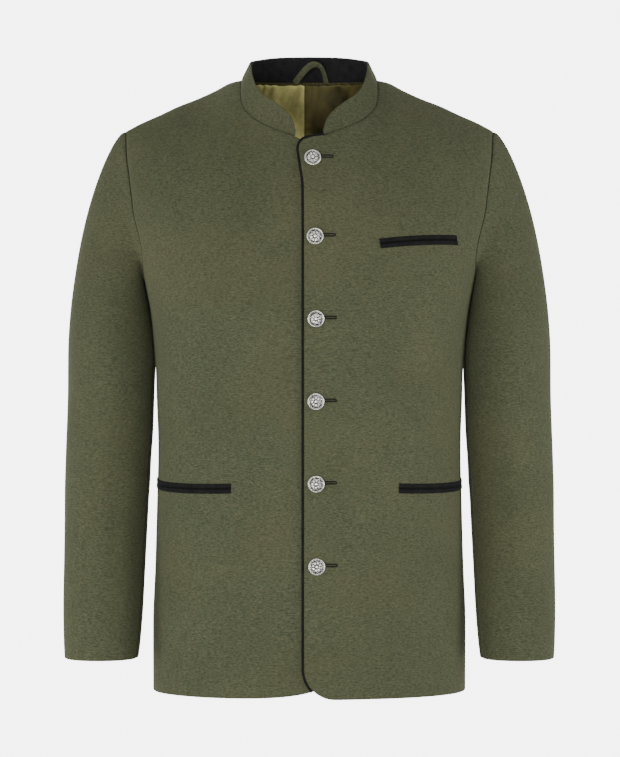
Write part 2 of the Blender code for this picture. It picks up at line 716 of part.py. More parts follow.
def button(name, place, outward, shank_length):
    """A domed button with a raised rim, a ring of petals and a shank behind it."""
    turns = np.arange(SIDES_BUTTON) * 2 * pi / SIDES_BUTTON
    rings = []
    for radius, height, petals in zip(*BUTTON_PROFILE.values()):
        lift = height + petals * np.cos(PETALS * turns)
        rings.append(np.stack([radius * np.cos(turns), radius * np.sin(turns), lift], axis=-1))
    for height in (0, -shank_length):
        rings.append(np.stack([SHANK_RADIUS * np.cos(turns), SHANK_RADIUS * np.sin(turns),
                               0 * turns + height], axis=-1))
    points = np.concatenate(rings)
    count = len(rings)
    index = np.arange(count * SIDES_BUTTON).reshape(count, SIDES_BUTTON)
    after = np.roll(index, -1, axis=1)
    faces = [[index[r, c], index[r + 1, c], after[r + 1, c], after[r, c]]
             for r in range(count - 1) for c in range(SIDES_BUTTON)]
    faces.append(list(index[0]))
    faces.append(list(index[-1][::-1]))
    z_axis = outward
    x_axis = unit(np.cross(np.array([0, 0, 1.0]), z_axis))
    y_axis = np.cross(z_axis, x_axis)
    points = place + points @ np.stack([x_axis, y_axis, z_axis])
    finish(name, points, faces, "old_silver")


def buttonhole_cutter(number, place, outward):
    """A keyhole: a round eye for the shank, and a slit away from the front edge."""
    arc = np.linspace(radians(24), radians(336), 11)
    eye = [(HOLE_RADIUS * np.cos(a), HOLE_RADIUS * np.sin(a)) for a in arc]
    outline = np.array([(SLIT_LENGTH, -SLIT_HALF), (SLIT_LENGTH, SLIT_HALF)] + eye)
    x_axis = unit(np.cross(np.array([0, 0, 1.0]), outward))
    y_axis = np.cross(outward, x_axis)
    points = [place + x * x_axis + y * y_axis + outward * depth
              for depth in (-LODEN - 0.35, 4.0) for x, y in outline]
    count = len(outline)
    faces = [[i, (i + 1) % count, (i + 1) % count + count, i + count] for i in range(count)]
    faces += [list(range(count))[::-1], list(range(count, 2 * count))]
    cutter = finish(f"buttonhole_{number}", points, faces, "loden")
    cutter.hide_render = True
    cutter.display_type = "WIRE"
    return cutter


def nearest(grid, x, z):
    """The point and the way out of a front panel at x and z."""
    columns, line = level_line(grid, z)
    column = np.interp(x, line[AHEAD, 0], columns[AHEAD])
    row = row_at_height(grid, column, z)
    return read_grid(grid, row, column), unit(read_grid(grid_normals(grid), row, column))


def hanger_loop(tape):
    """A folded loden strip whose feet lie on the neck tape, and which turns as it goes over."""
    turns = np.linspace(0, pi, RINGS_LOOP)[:, None]
    rounds = (np.arange(SIDES_LOOP) * 2 * pi / SIDES_LOOP)[None, :, None]
    side, over = np.cos(turns), np.sin(turns)
    foot_x = LOOP["middle_x"] + LOOP["half_span"] * np.array([1, -1])
    brink = tape[-1]
    foot_y = min(np.interp(-foot_x, -brink[:, 0], brink[:, 1])) - SEAM - LOOP_HALF_THICK
    foot_z = np.interp(-foot_x, -brink[:, 0], brink[:, 2]).mean()
    x = LOOP["middle_x"] + LOOP["half_span"] * side
    y = foot_y - LOOP["lean"] * over**0.5
    z = foot_z + LOOP["height"] * over**0.8
    middle = np.concatenate([x, y, z], axis=1)
    zero = 0 * turns
    outwards = np.concatenate([side, zero, over], axis=1)
    roll = LOOP_ROLL * over * (1 - turns / pi)
    wide = outwards * np.cos(roll) + np.array([0, 1, 0]) * np.sin(roll)
    flat = np.cross(wide, np.concatenate([-over, zero, side], axis=1))
    rings = middle[:, None] + wide[:, None] * LOOP_HALF_WIDTH * np.cos(rounds)
    rings = rings + flat[:, None] * LOOP_HALF_THICK * np.sin(rounds)
    finish("hanger_loop", rings.reshape(-1, 3), tube_faces(RINGS_LOOP, SIDES_LOOP), "loden")


def panels():
    """The two fronts and the back: their walls before the seams are opened, and the left front."""
    below, everything = slice(None, ROWS_BELOW + 1), slice(None)
    over = body_wall(front_places(OVER_EDGE, OVER_TOP, True), 1, LAP)
    under = body_wall(front_places(UNDER_EDGE, UNDER_TOP, False), -1)
    behind = body_wall(back_places())
    over_piece = pull_in(over, last_column=below, last_row=everything)
    under_piece = pull_in(under, last_column=below, last_row=everything)
    shoulders = np.r_[0 : COLUMNS_FRONT + 1, -COLUMNS_FRONT - 1 : 0]
    behind = pull_in(behind, first_column=below, last_column=below, last_row=shoulders)
    front_left = cloth("front_left", over_piece, "loden")
    cloth("front_right", [mirrored(wall) for wall in under_piece], "loden")
    cloth("back", behind, "loden")
    return over, under, behind, front_left


def neck_pieces(over, under, behind):
    """The collar and its facing, on the real neck edges of the three panels."""
    neck_rows = slice(-ROWS_NECK - 1, -1)
    neck_columns = slice(COLUMNS_FRONT, -COLUMNS_FRONT)
    left, right = (np.stack(walls)[:, neck_rows, 0] for walls in (over, under))
    rear = np.stack(behind)[:, -1, neck_columns]
    seam, seam_in = np.concatenate([left, rear, right[:, ::-1] * FLIP], axis=1)
    front_at, back_at = collar_stations()
    half = np.concatenate([front_at[:-1], back_at])
    ends = ("edge_x", "edge_y", "edge_z")
    edge = np.stack([smooth(COLLAR["station"], COLLAR[name], half) for name in ends], axis=-1)
    free_edge = np.concatenate([edge, edge[::-1][1:] * FLIP])
    lapped = slice(0, len(front_at))
    free_edge[lapped, 1] -= LAP * (1 - ease((edge[lapped, 0] - COLLAR_LAP_FLAT) / COLLAR_LAP_RUN))
    outer_walls, facing_walls = collar(seam, unit(seam - seam_in), free_edge)
    cloth("collar_outer", outer_walls, "loden")
    cloth("collar_inner", facing_walls, "black_velvet")


def piping(over):
    """The piping along the left front's free edge, from the hem to the collar."""
    top_end = ROWS_BELOW + ROWS_EDGE + ROWS_TOP
    rows = np.append(np.arange(top_end), top_end - PIPING_SHORT)
    rim, rim_in = (read_grid(grid, rows, 0 * rows) for grid in over)
    outwards = unit(rim - rim_in)
    aside = unit(np.cross(np.gradient(rim, axis=0), outwards))
    band = np.stack([rim - aside * (SEAM + PIPING_WIDTH), rim - aside * SEAM], axis=1)
    outer = band - outwards[:, None] * PIPING_DEPTH
    cloth("front_piping", (outer, outer - outwards[:, None] * BRAID), "black_velvet")


def buttons(over, under, front_left):
    """The buttons, each with its shank through a buttonhole in the left front."""
    for number, (x, z) in enumerate(zip(BUTTONS["x"], BUTTONS["z"]), 1):
        place, outward = nearest(over[0], x, z)
        beneath, _ = nearest(under[0], -x, z)
        depth = np.dot(place - beneath * FLIP, outward) - SEAM
        button(f"button_{number}", place + outward * BUTTON_LIFT, outward, depth + BUTTON_LIFT)
        cut = front_left.modifiers.new(f"buttonhole_{number}", "BOOLEAN")
        cut.operation = "DIFFERENCE"
        cut.solver = "EXACT"
        cut.object = buttonhole_cutter(number, place, outward)


def inside_pieces(inside):
    """The two halves of the lining, the neck tape and the hanger loop, inside the back."""
    columns, line = level_line(inside, TAPE_HEIGHT)
    top_row = inside.shape[0] - 1
    lining_rows = lines_between(ROWS_BELOW + LINING_BOTTOM, top_row - LINING_TOP)
    tape_rows = top_row - np.array(TAPE_BAND)
    strips = (
        ("lining_back_left", LINING_HALF_WIDTH, LINING_SEAM_X + SEAM, lining_rows),
        ("lining_back_right", LINING_SEAM_X - SEAM, -LINING_HALF_WIDTH, lining_rows),
        ("neck_tape", TAPE_HALF_WIDTH, -TAPE_HALF_WIDTH, tape_rows),
    )
    inside_out = grid_normals(inside)
    for name, start_x, stop_x, rows in strips:
        is_tape = name == "neck_tape"
        gap, thick = (SEAM, BRAID) if is_tape else (LINING_GAP, SATIN)
        across = lines_between(*np.interp([-start_x, -stop_x], -line[:, 0], columns))
        at = np.broadcast_arrays(rows[:, None], across[None])
        inwards = -unit(read_grid(inside_out, *at))
        outer = read_grid(inside, *at) + inwards * gap
        inner = outer + inwards * thick
        cloth(name, (outer, inner), "tape" if is_tape else "satin")
    hanger_loop(inner)


def main():
    for old in list(bpy.data.objects):
        bpy.data.objects.remove(old, do_unlink=True)
    over, under, behind, front_left = panels()
    sleeves()
    neck_pieces(over, under, behind)
    piping(over)
    for name, (side, near_x, height, length, arch) in POCKETS.items():
        panel = over[0] if side == "left" else under[0]
        jets(name, panel, near_x, height, length, arch, side == "right")
    buttons(over, under, front_left)
    inside_pieces(behind[1])


main()
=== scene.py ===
"""The looks of a tyrolean loden jacket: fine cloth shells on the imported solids, and their finishes.

Frame: +X is the wearer's left, -Y the front, +Z up; the origin is midway between the two points
where the collar seam meets the shoulder seams. Shapes are worked out in millimetres and turned
to metres when a mesh is made. A place on the body is an angle round it (0 at the front) and a
level: the height up to the armpits and, above them, the way up over the shoulder.
"""

from functools import partial
from math import pi, radians

import bpy
import numpy as np
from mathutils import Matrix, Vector


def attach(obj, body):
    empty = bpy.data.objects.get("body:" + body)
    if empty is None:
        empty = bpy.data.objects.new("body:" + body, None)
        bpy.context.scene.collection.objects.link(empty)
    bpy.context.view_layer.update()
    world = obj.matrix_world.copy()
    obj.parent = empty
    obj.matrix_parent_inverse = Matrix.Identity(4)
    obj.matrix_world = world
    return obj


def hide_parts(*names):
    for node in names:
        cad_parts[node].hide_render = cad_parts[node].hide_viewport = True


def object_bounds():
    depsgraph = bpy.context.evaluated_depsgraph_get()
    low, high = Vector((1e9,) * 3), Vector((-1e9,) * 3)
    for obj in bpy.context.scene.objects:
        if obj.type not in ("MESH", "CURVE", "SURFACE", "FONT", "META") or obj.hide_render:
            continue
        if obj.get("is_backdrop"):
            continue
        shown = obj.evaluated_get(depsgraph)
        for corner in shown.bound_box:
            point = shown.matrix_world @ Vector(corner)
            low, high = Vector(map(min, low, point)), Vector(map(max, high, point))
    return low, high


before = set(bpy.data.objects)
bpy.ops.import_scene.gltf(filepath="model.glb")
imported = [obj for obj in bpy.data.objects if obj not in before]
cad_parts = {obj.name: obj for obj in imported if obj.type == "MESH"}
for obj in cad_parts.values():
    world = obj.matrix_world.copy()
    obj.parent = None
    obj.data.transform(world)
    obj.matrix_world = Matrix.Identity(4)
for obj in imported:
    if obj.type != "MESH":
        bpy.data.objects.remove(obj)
cad_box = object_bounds()

MM = 0.001
FLIP, UP = np.array([-1, 1, 1]), np.array([0, 0, 1.0])


def table(columns, *rows):
    """Rows of numbers under named columns."""
    return dict(zip(columns.split(), np.array(rows, float).T))


# ---- Cloth, seams and laps
LODEN, SATIN, BRAID = 2.0, 0.7, 1.2
SEAM = 0.3
STITCHED = 0.04
ROLL, NEARLY_HALF = 1.2, 0.48
# SEAM_SHADE is the width of the painted shade beside a seam, where its valley is darkened in the colour
SEAM_DEPTH, SEAM_WIDTH, SEAM_SHADE, NECK_SEAM = 1.3, 3.2, 1.1, 0.45
LAP, LAP_FLAT, LAP_END = 3.2, 30, 70

# ---- The body of the jacket
HEM, ARMPIT, OVER_SHOULDER, RIDGE_Y = -731, -250, 314, 5
SIDE_SEAM = radians(98)
BODY = table(
    "level half_width front_depth back_depth squareness",
    (-731, 187.2, 130, 118, 2.3),
    (-650, 187.2, 129, 122, 2.3),
    (-580, 184.8, 128, 118, 2.35),
    (-500, 182.3, 127, 109, 2.4),
    (-440, 181.4, 127, 106, 2.4),
    (-385, 183, 128, 109, 2.45),
    (-340, 184.4, 129, 113, 2.5),
    (-290, 188.6, 129, 118, 2.6),
    (-250, 195.6, 128, 121, 2.7),
    (-205, 206.5, 128, 122, 2.8),
    (-150, 222.5, 128, 122, 2.8),
    (-55, 229, 128, 122, 2.8),
    (64, 232, 128, 122, 2.8),
)
SHOULDER = table(
    "x height",
    (0, 10),
    (40, 7),
    (80, 0),
    (95, -3.6),
    (113, -13),
    (135, -23),
    (158, -32),
    (179, -42),
    (202, -52),
    (222, -62),
    (240, -71),
)
NAPE_RISE, NECK_HALF_WIDTH = 45, 82
ARMHOLE = table(
    "height_share front_angle back_angle",
    (0.02, 98, 98),
    (0.035, 86, 105),
    (0.09, 75, 110),
    (0.2, 67, 114),
    (0.48, 61.8, 118),
    (0.67, 62.6, 118),
    (0.83, 64, 117),
    (1, 64, 116),
)

# ---- The front edges
CORNER_RADIUS = 36
OVER_EDGE = table("z x", (-731, -6), (-200, -6), (-135, -6.3), (-113, -9.2), (-92, -12.2))
OVER_TOP = table("x z", (-12.2, -92), (-10.8, -85.5), (-4, -79.9), (17.6, -75.4))
UNDER_EDGE = table("z x", (-731, -22), (-100, -22))
UNDER_TOP = table("x z", (-22, -92), (-15, -90), (0, -84.5), (17.6, -75.4))
UNDER_HEM_RISE, UNDER_HEM_RUN = 17, 30

# ---- The stand collar, from a front end to the middle of the back
COLLAR = table(
    "station seam_x seam_z edge_x edge_y edge_z",
    (0.00, 17.6, -75.4, 17.2, -93, -70),
    (0.06, 25, -72, 20, -91, -58),
    (0.16, 40.6, -66, 29, -84, -45),
    (0.28, 58, -57, 44, -71, -32),
    (0.38, 71, -47, 57, -57, -22),
    (0.46, 80, -33, 66, -36, -6),
    (0.53, 82, -15, 70.5, -14, 12),
    (0.60, 82, 0, 71.5, 8, 21),
    (0.75, 64, 1.5, 57.5, 41, 28),
    (0.88, 34, 2.5, 30, 56, 32),
    (1.00, 0, 3, 0, 60, 33),
)
SHOULDER_STATION = 0.60

# ---- Sleeves: level sections below the armhole, for the wearer's left
SLEEVE = table(
    "z middle_x middle_y half_width half_depth",
    (-347, 238.1, 14, 52.5, 70),
    (-385, 238.7, 11, 52.1, 68),
    (-433, 239.8, 8, 52.2, 65),
    (-481, 241.5, 5, 51.7, 62),
    (-529, 243.4, -2, 49.8, 59),
    (-577, 244.5, -10, 48.7, 57),
    (-625, 245.6, -19, 47.6, 54),
    (-673, 246.7, -28, 45.3, 51),
    (-691, 247.2, -31, 43.7, 50),
)
SLEEVE_SQUARENESS = 2.2
HEAD_EASE, PIT_EASE, PIT_ROLL = 25, 20, 2
HEAD_FALL, PIT_FALL, PIT_TUCK = 150, 42, 4
BACK_SEAM_SHARE, FRONT_SEAM_SHARE = 0.27, 0.54

# ---- Soft folds: long bells pressed in, measured by the body's mean radius and the sleeve's girth
BODY_REACH, SLEEVE_ROUND = 140, 380
BODY_FOLDS = table(
    "angle level tilt length width depth",
    (-12, -500, 28, 90, 22, 1.6),
    (52, -300, -35, 80, 20, 1.6),
    (-50, -300, 35, 80, 20, 1.4),
    (140, -420, 20, 110, 26, 2.2),
    (215, -400, -24, 110, 26, 2.2),
    (180, -330, 6, 90, 30, 1.6),
)
SLEEVE_FOLDS = table(
    "turn z length width depth",
    (0.70, -520, 120, 16, 2.4),
    (0.55, -470, 40, 30, 2.0),
    (0.30, -455, 22, 60, 2.4),
    (0.34, -500, 20, 55, 2.0),
)

# ---- Pockets: the front they are on, the x of the end nearer its edge, the heights of the near
# end, the middle and the far end, the length, and how much they lean. A jet runs from JET_NEAR to
# JET_FAR off the middle of the slit.
JET_NEAR, JET_FAR, JET_THICK, JET_LIFT, JET_ROLL = 0.02, 5.8, 1.0, 0.15, 0.5
# The share of a seam at the slit: it sinks the jets there and paints shade on them
SLIT_SUNK_AND_SHADED = 0.12
POCKETS = {
    "chest_welt": ("left", 82, (-203, -198.6, -197.5), 98, 0.16),
    "hip_left_welt": ("left", 104, (-487, -487.6, -483.4), 150, 0),
    "hip_right_welt": ("right", 91, (-487, -487.6, -483.4), 150, 0),
}

# ---- Buttons and buttonholes
BUTTONS = table(
    "x z",
    (3.7, -104),
    (6.6, -195.5),
    (7.7, -290.5),
    (7.7, -386),
    (7.9, -481.5),
    (8.6, -577),
)
BUTTON_LIFT = 0.6
BUTTON_RADIUS, BUTTON_SIDES, FACE_RINGS, PETALS = 10, 176, 74, 8
FACE_RISE, FACE_DOME, HOLLOW_DEPTH = 2.1, 1.7, 0.75
BUTTON_BACK = ((9.85, 1.7), (10, 1.15), (9.85, 0.6), (9.2, 0), (6, 0), (1.6, 0))
SLIT_START, SLIT_STOP, SLIT_GAP, SLIT_RISE, STITCH_STEP = 4, 22, 1.3, 1.5, 0.75

# ---- Inside the neck; a span is the share of the back above the armpits, from below to above
LINING_HALF_WIDTH, LINING_SEAM_X, LINING_GAP = 118, -6, 0.6
LINING_SPAN, SATIN_ROLL, CREST_HEIGHT = (0.01, 0.997), 0.3, 4.6
TAPE_HALF_WIDTH, TAPE_SPAN, TAPE_ROLL = 66, (1 - 0.036 / 13, 1 - 0.004 / 13), 0.4
FACING_ROLL = 0.5
PIPING_WIDTH, PIPING_HALF_THICK, PIPING_SUNK = 2.8, 0.95, 1.0
# The stand gets a painted shade all over, the same as a seam's, so that it reads darker
COLLAR_PAINTED_SHADE = 0.28

# ---- The floor
FLOOR_RADIUS, FLOOR_Z, FLOOR_RISE = 2600, -1250, 60

# ---- Grid lines of the panels
COLUMNS_FRONT = 70
ROWS_BELOW, ROWS_EDGE, ROWS_TOP, ROWS_NECK = 84, 26, 12, 32
BACK_NECK_STATIONS = 26
SLEEVE_COLUMNS, CAP_LINES, ARM_LINES = 72, 46, 91
COLLAR_ROWS, FACING_INSET = 16, 5
JET_COLUMNS, JET_ROWS = 90, 11
LINING_LINES, TAPE_COLUMNS, TAPE_LINES = 150, 120, 9
EDGE_LINES = np.array([0, 0.06, 0.16, 0.32, 0.6])


def smooth(places, values, at):
    """Between two points a cubic whose slopes are the harmonic mean of its neighbours' slopes."""
    places, values = np.asarray(places, float), np.asarray(values, float)
    at = np.clip(np.asarray(at, float), places[0], places[-1])
    run = np.diff(places)
    slope = np.diff(values) / run
    same_way = slope[:-1] * slope[1:] > 0
    total = np.where(same_way, slope[:-1] + slope[1:], 1)
    inner = np.where(same_way, 2 * slope[:-1] * slope[1:] / total, 0)
    tangent = np.concatenate([slope[:1], inner, slope[-1:]])
    i = np.clip(np.searchsorted(places, at) - 1, 0, len(run) - 1)
    t = (at - places[i]) / run[i]
    start = values[i] * (1 + 2 * t) * (1 - t) ** 2 + run[i] * tangent[i] * t * (1 - t) ** 2
    end = values[i + 1] * t**2 * (3 - 2 * t) - run[i] * tangent[i + 1] * t**2 * (1 - t)
    return start + end


def ease(t):
    """A smooth step: three t squared less two t cubed."""
    t = np.clip(t, 0, 1)
    return t * t * (3 - 2 * t)


def unit(v):
    """Vectors at length 1."""
    return v / np.maximum(np.linalg.norm(v, axis=-1, keepdims=True), 1e-12)


def bell(v, width):
    """A bell: exp(-(v / width)^2)."""
    return np.exp(-((v / width) ** 2))


def way_along(line):
    """Each point's distance from the first one, measured along the line."""
    return np.concatenate([[0], np.cumsum(np.linalg.norm(np.diff(line, axis=0), axis=-1))])


def oval_reach(aside, ahead, n):
    """How far a squared oval reaches one way: (|aside|^n + |ahead|^n)^(-1/n)."""
    return (np.abs(aside) ** n + np.abs(ahead) ** n) ** (-1 / n)


def body_size(name, level):
    """A column of the body's table, read smoothly at a level."""
    return smooth(BODY["level"], BODY[name], level)


def shoulder_height(x, in_front):
    """The shoulder line's height over x; the back adds a rise to the nape, 1 - (x / neck)^2."""
    x = np.abs(x)
    nape = NAPE_RISE * np.clip(1 - (x / NECK_HALF_WIDTH) ** 2, 0, 1) ** 1.3
    return smooth(SHOULDER["x"], SHOULDER["height"], x) + np.where(in_front, 0, nape)


def body(angle, level):
    """Below the armpits a squared oval: |x/a|^n + |y/b|^n = 1. Above them its height goes as the
    sine of the way up, and its depth shrinks by (1 - share^p)^(1/p) on to the shoulder line.
    """
    angle, level = np.broadcast_arrays(np.asarray(angle, float), np.asarray(level, float))
    aside, ahead = np.sin(angle), np.cos(angle)
    in_front = ahead > 0
    n = body_size("squareness", level)
    reach = oval_reach(aside, ahead, n)
    x = body_size("half_width", level) * reach * aside
    share = np.sin(np.clip((level - ARMPIT) / OVER_SHOULDER, 0, 1) * pi / 2)
    z = np.where(level < ARMPIT, level, ARMPIT + (shoulder_height(x, in_front) - ARMPIT) * share)
    dome = np.where(in_front, 2 - 0.4 * ease(np.abs(x) / 80), 1.75)
    shrink = np.clip(1 - share**dome, 0, 1) ** (1 / dome)
    depth = np.where(in_front, body_size("front_depth", level), body_size("back_depth", level))
    y = RIDGE_Y * share - depth * shrink * reach * ahead
    return np.stack([x, y, z], axis=-1)


def seen_from_front(x, z, in_front=True):
    """The angle and level of the point of the front, or the back, at x and height z."""
    x, z = np.asarray(x, float), np.asarray(z, float)
    share = np.clip((z - ARMPIT) / (shoulder_height(x, in_front) - ARMPIT), 0, 1)
    level = np.where(z < ARMPIT, z, ARMPIT + OVER_SHOULDER * np.arcsin(share) * 2 / pi)
    n = body_size("squareness", level)
    aside = np.clip(x / body_size("half_width", level), -1, 1)
    ahead = (1 - np.abs(aside) ** n) ** (1 / n)
    angle = np.arctan2(aside, ahead)
    return np.stack([angle if in_front else pi - angle, level], axis=-1)


def body_normal(angle, level):
    """The cross product of the body's slopes round it and up it."""
    round_it = body(angle + 0.002, level) - body(angle - 0.002, level)
    up_it = body(angle, level + 0.5) - body(angle, level - 0.5)
    return unit(np.cross(round_it, up_it))


def body_folds(angle, level):
    """A sum of bells along and beside each fold, and a slow ripple of sines."""
    total = 0.35 * np.sin(angle * 5 + level / 61) * np.sin(level / 47 + 1.3 * np.sin(angle * 3))
    for a, up, tilt, length, width, depth in zip(*BODY_FOLDS.values()):
        across = np.remainder(angle - radians(a) + pi, 2 * pi) - pi
        dx, dz = across * BODY_REACH, level - up
        along = dx * np.cos(radians(tilt)) + dz * np.sin(radians(tilt))
        beside = dz * np.cos(radians(tilt)) - dx * np.sin(radians(tilt))
        total = total + depth * bell(along, length) * bell(beside, width)
    return total


def body_shell(places, side=1, lap=0):
    """Outer points and the way out of a panel: the body moved out by the lap, less the folds."""
    angle, level = places[..., 0], places[..., 1]
    normal = body_normal(angle, level)
    normal[..., 1] = np.where(level > ARMPIT + OVER_SHOULDER - 0.01, 0, normal[..., 1])
    normal = unit(normal)
    outer = body(angle, level)
    raised = lap * (1 - ease((outer[..., 0] - LAP_FLAT) / (LAP_END - LAP_FLAT)))
    return outer + normal * (raised - body_folds(angle * side, level))[..., None], normal


def spread_of(values):
    """Each value's share of the way from the first value to the last."""
    return (values - values[0]) / (values[-1] - values[0])


def patch(left, right, bottom, top):
    """The sum of two straight spans between opposite edges, less the span of the corners."""
    across, up = spread_of(top[:, 0])[None, :, None], spread_of(right[:, 1])[:, None, None]
    sides = (1 - across) * left[:, None] + across * right[:, None]
    ends = (1 - up) * bottom[None] + up * top[None]
    low = (1 - across) * bottom[0] + across * bottom[-1]
    high = (1 - across) * top[0] + across * top[-1]
    return sides + ends - (1 - up) * low - up * high


def side_seam(levels):
    """Places up the side seam."""
    return np.stack([0 * levels + SIDE_SEAM, levels], axis=-1)


def other_way_round(places):
    """The same places on the wearer's other side."""
    return np.stack([2 * pi - places[:, 0], places[:, 1]], axis=-1)


def armhole(angles, count):
    """Evenly spaced places from the armpit up to the shoulder along one half of the armhole."""
    rows = np.arange(len(ARMHOLE["height_share"]))
    fine = np.linspace(0, rows[-1], 800)
    angle = np.radians(smooth(rows, ARMHOLE[angles], fine))
    share = smooth(rows, ARMHOLE["height_share"], fine)
    level = ARMPIT + OVER_SHOULDER * np.arcsin(np.clip(share, 0, 1)) * 2 / pi
    length = way_along(body(angle, level))
    at = np.linspace(0, length[-1], count + 1)
    return np.stack([np.interp(at, length, angle), np.interp(at, length, level)], axis=-1)


def collar_stations():
    """The stations of the collar's front part, and those from the shoulder to the nape."""
    front = SHOULDER_STATION * np.linspace(0, 1, ROWS_NECK + 1)
    return front, np.linspace(SHOULDER_STATION, 1, BACK_NECK_STATIONS + 1)


def neckline(stations, in_front):
    """Places along the neck seam."""
    x = smooth(COLLAR["station"], COLLAR["seam_x"], stations)
    z = smooth(COLLAR["station"], COLLAR["seam_z"], stations)
    z = np.where(stations == SHOULDER_STATION, shoulder_height(x, in_front), z)
    return seen_from_front(x, z, in_front)


ROWS_ABOVE = ROWS_EDGE + ROWS_TOP + ROWS_NECK
SHOULDER_SPREAD = np.linspace(0, 1, COLUMNS_FRONT + 1) ** 1.15


def along(line, count):
    """The x and z of evenly spaced points along a short open line."""
    x, z = line.values()
    length = way_along(np.stack([x, z], axis=-1))
    at = np.linspace(0, length[-1], count + 1)
    return smooth(length, x, at), smooth(length, z, at)


def front_places(edge, top_line, rounded):
    """A front as a patch between its free edge, side seam and armhole, hem and shoulder.

    The rounded lower corner is an arc: its lower half lies on the hem, its upper half on the edge.
    """
    bend = 12 if rounded else 0
    straight_from = HEM + (CORNER_RADIUS if rounded else UNDER_HEM_RISE)
    corner = HEM + CORNER_RADIUS * (1 + np.sin(np.linspace(-pi / 4, 0, bend + 1)[:-1]))
    straight = np.linspace(straight_from, ARMPIT + 4, ROWS_BELOW - bend + 1)
    upper = np.linspace(ARMPIT + 4, edge["z"][-1], ROWS_EDGE + 1)[1:]
    edge_z = np.concatenate([corner, straight, upper])
    edge_x = smooth(edge["z"], edge["x"], edge_z)
    if rounded:
        edge_x += roll_in(edge_z - HEM, CORNER_RADIUS)
    top_x, top_z = along(top_line, ROWS_TOP)
    left = np.concatenate(
        [
            seen_from_front(edge_x, edge_z),
            seen_from_front(top_x[1:], top_z[1:]),
            neckline(collar_stations()[0][1:], True),
        ]
    )
    arm = armhole("front_angle", ROWS_ABOVE)
    split = HEM + (0.9 * CORNER_RADIUS if rounded else 0)
    by_corner = np.linspace(HEM, split, bend + 1)[:-1]
    above_it = np.linspace(split, arm[0, 1], ROWS_BELOW - bend + 1)[:-1]
    right = np.concatenate([side_seam(np.concatenate([by_corner, above_it])), arm])
    top = left[-1] + (right[-1] - left[-1]) * SHOULDER_SPREAD[:, None]
    bottom_angle = left[0, 0] + (SIDE_SEAM - left[0, 0]) * SHOULDER_SPREAD
    bottom_x = body(bottom_angle, HEM)[:, 0]
    if rounded:
        rise = roll_in(bottom_x - edge["x"][0], CORNER_RADIUS)
    else:
        rise = UNDER_HEM_RISE * np.exp(-(bottom_x - bottom_x[0]) / UNDER_HEM_RUN)
    bottom = np.stack([bottom_angle, HEM + rise], axis=-1)
    bottom[[0, -1], 1] = left[0, 1], HEM
    return patch(left, right, bottom, top)


def back_places():
    """The back as a patch from the wearer's left side seam round to the right one."""
    arm = armhole("back_angle", ROWS_ABOVE)
    left = np.concatenate([side_seam(np.linspace(HEM, arm[0, 1], ROWS_BELOW + 1)[:-1]), arm])
    right = other_way_round(left)
    neck = neckline(collar_stations()[1], False)
    shoulder = left[-1] + (neck[0] - left[-1]) * (1 - SHOULDER_SPREAD[::-1])[:, None]
    half = np.concatenate([shoulder, neck[1:]])
    top = np.concatenate([half, other_way_round(half)[::-1][1:]])
    bottom_angle = left[0, 0] + (right[0, 0] - left[0, 0]) * spread_of(top[:, 0])
    bottom = np.stack([bottom_angle, 0 * bottom_angle + HEM], axis=-1)
    return patch(left, right, bottom, top)


def read_grid(grid, rows, columns):
    """A grid read between its lines by straight spans, at arrays of row and column numbers."""
    r = np.clip(np.floor(rows).astype(int), 0, grid.shape[0] - 2)
    c = np.clip(np.floor(columns).astype(int), 0, grid.shape[1] - 2)
    u, v = (rows - r)[..., None], (columns - c)[..., None]
    low = grid[r, c] * (1 - v) + grid[r, c + 1] * v
    high = grid[r + 1, c] * (1 - v) + grid[r + 1, c + 1] * v
    return low * (1 - u) + high * u


def reread(grid, rows, columns):
    """The grid at each of the given row numbers and column numbers."""
    return read_grid(grid, *np.broadcast_arrays(rows[:, None], columns[None]))


def grid_normals(grid):
    """The cross product of a grid's slopes along its rows and up its columns."""
    return unit(np.cross(np.gradient(grid, axis=1), np.gradient(grid, axis=0)))


def turned_over(grids):
    """The same grids, facing the other way."""
    return [grid[:, ::-1] for grid in grids]


def mirrored(grids):
    """The same grids on the wearer's other side, still facing outwards."""
    return [grid * FLIP if grid.ndim == 3 else grid for grid in turned_over(grids)]


def border_lines(count):
    """Line numbers with extra lines close to both borders."""
    return np.concatenate([EDGE_LINES, np.arange(1, count - 1), count - 1 - EDGE_LINES[::-1]])


def roll_in(distance, radius):
    """How far a rounded edge drops: a quarter circle, radius - sqrt(radius^2 - (radius - d)^2)."""
    short = np.clip(radius - distance, 0, radius)
    return radius - np.sqrt(radius**2 - short**2)


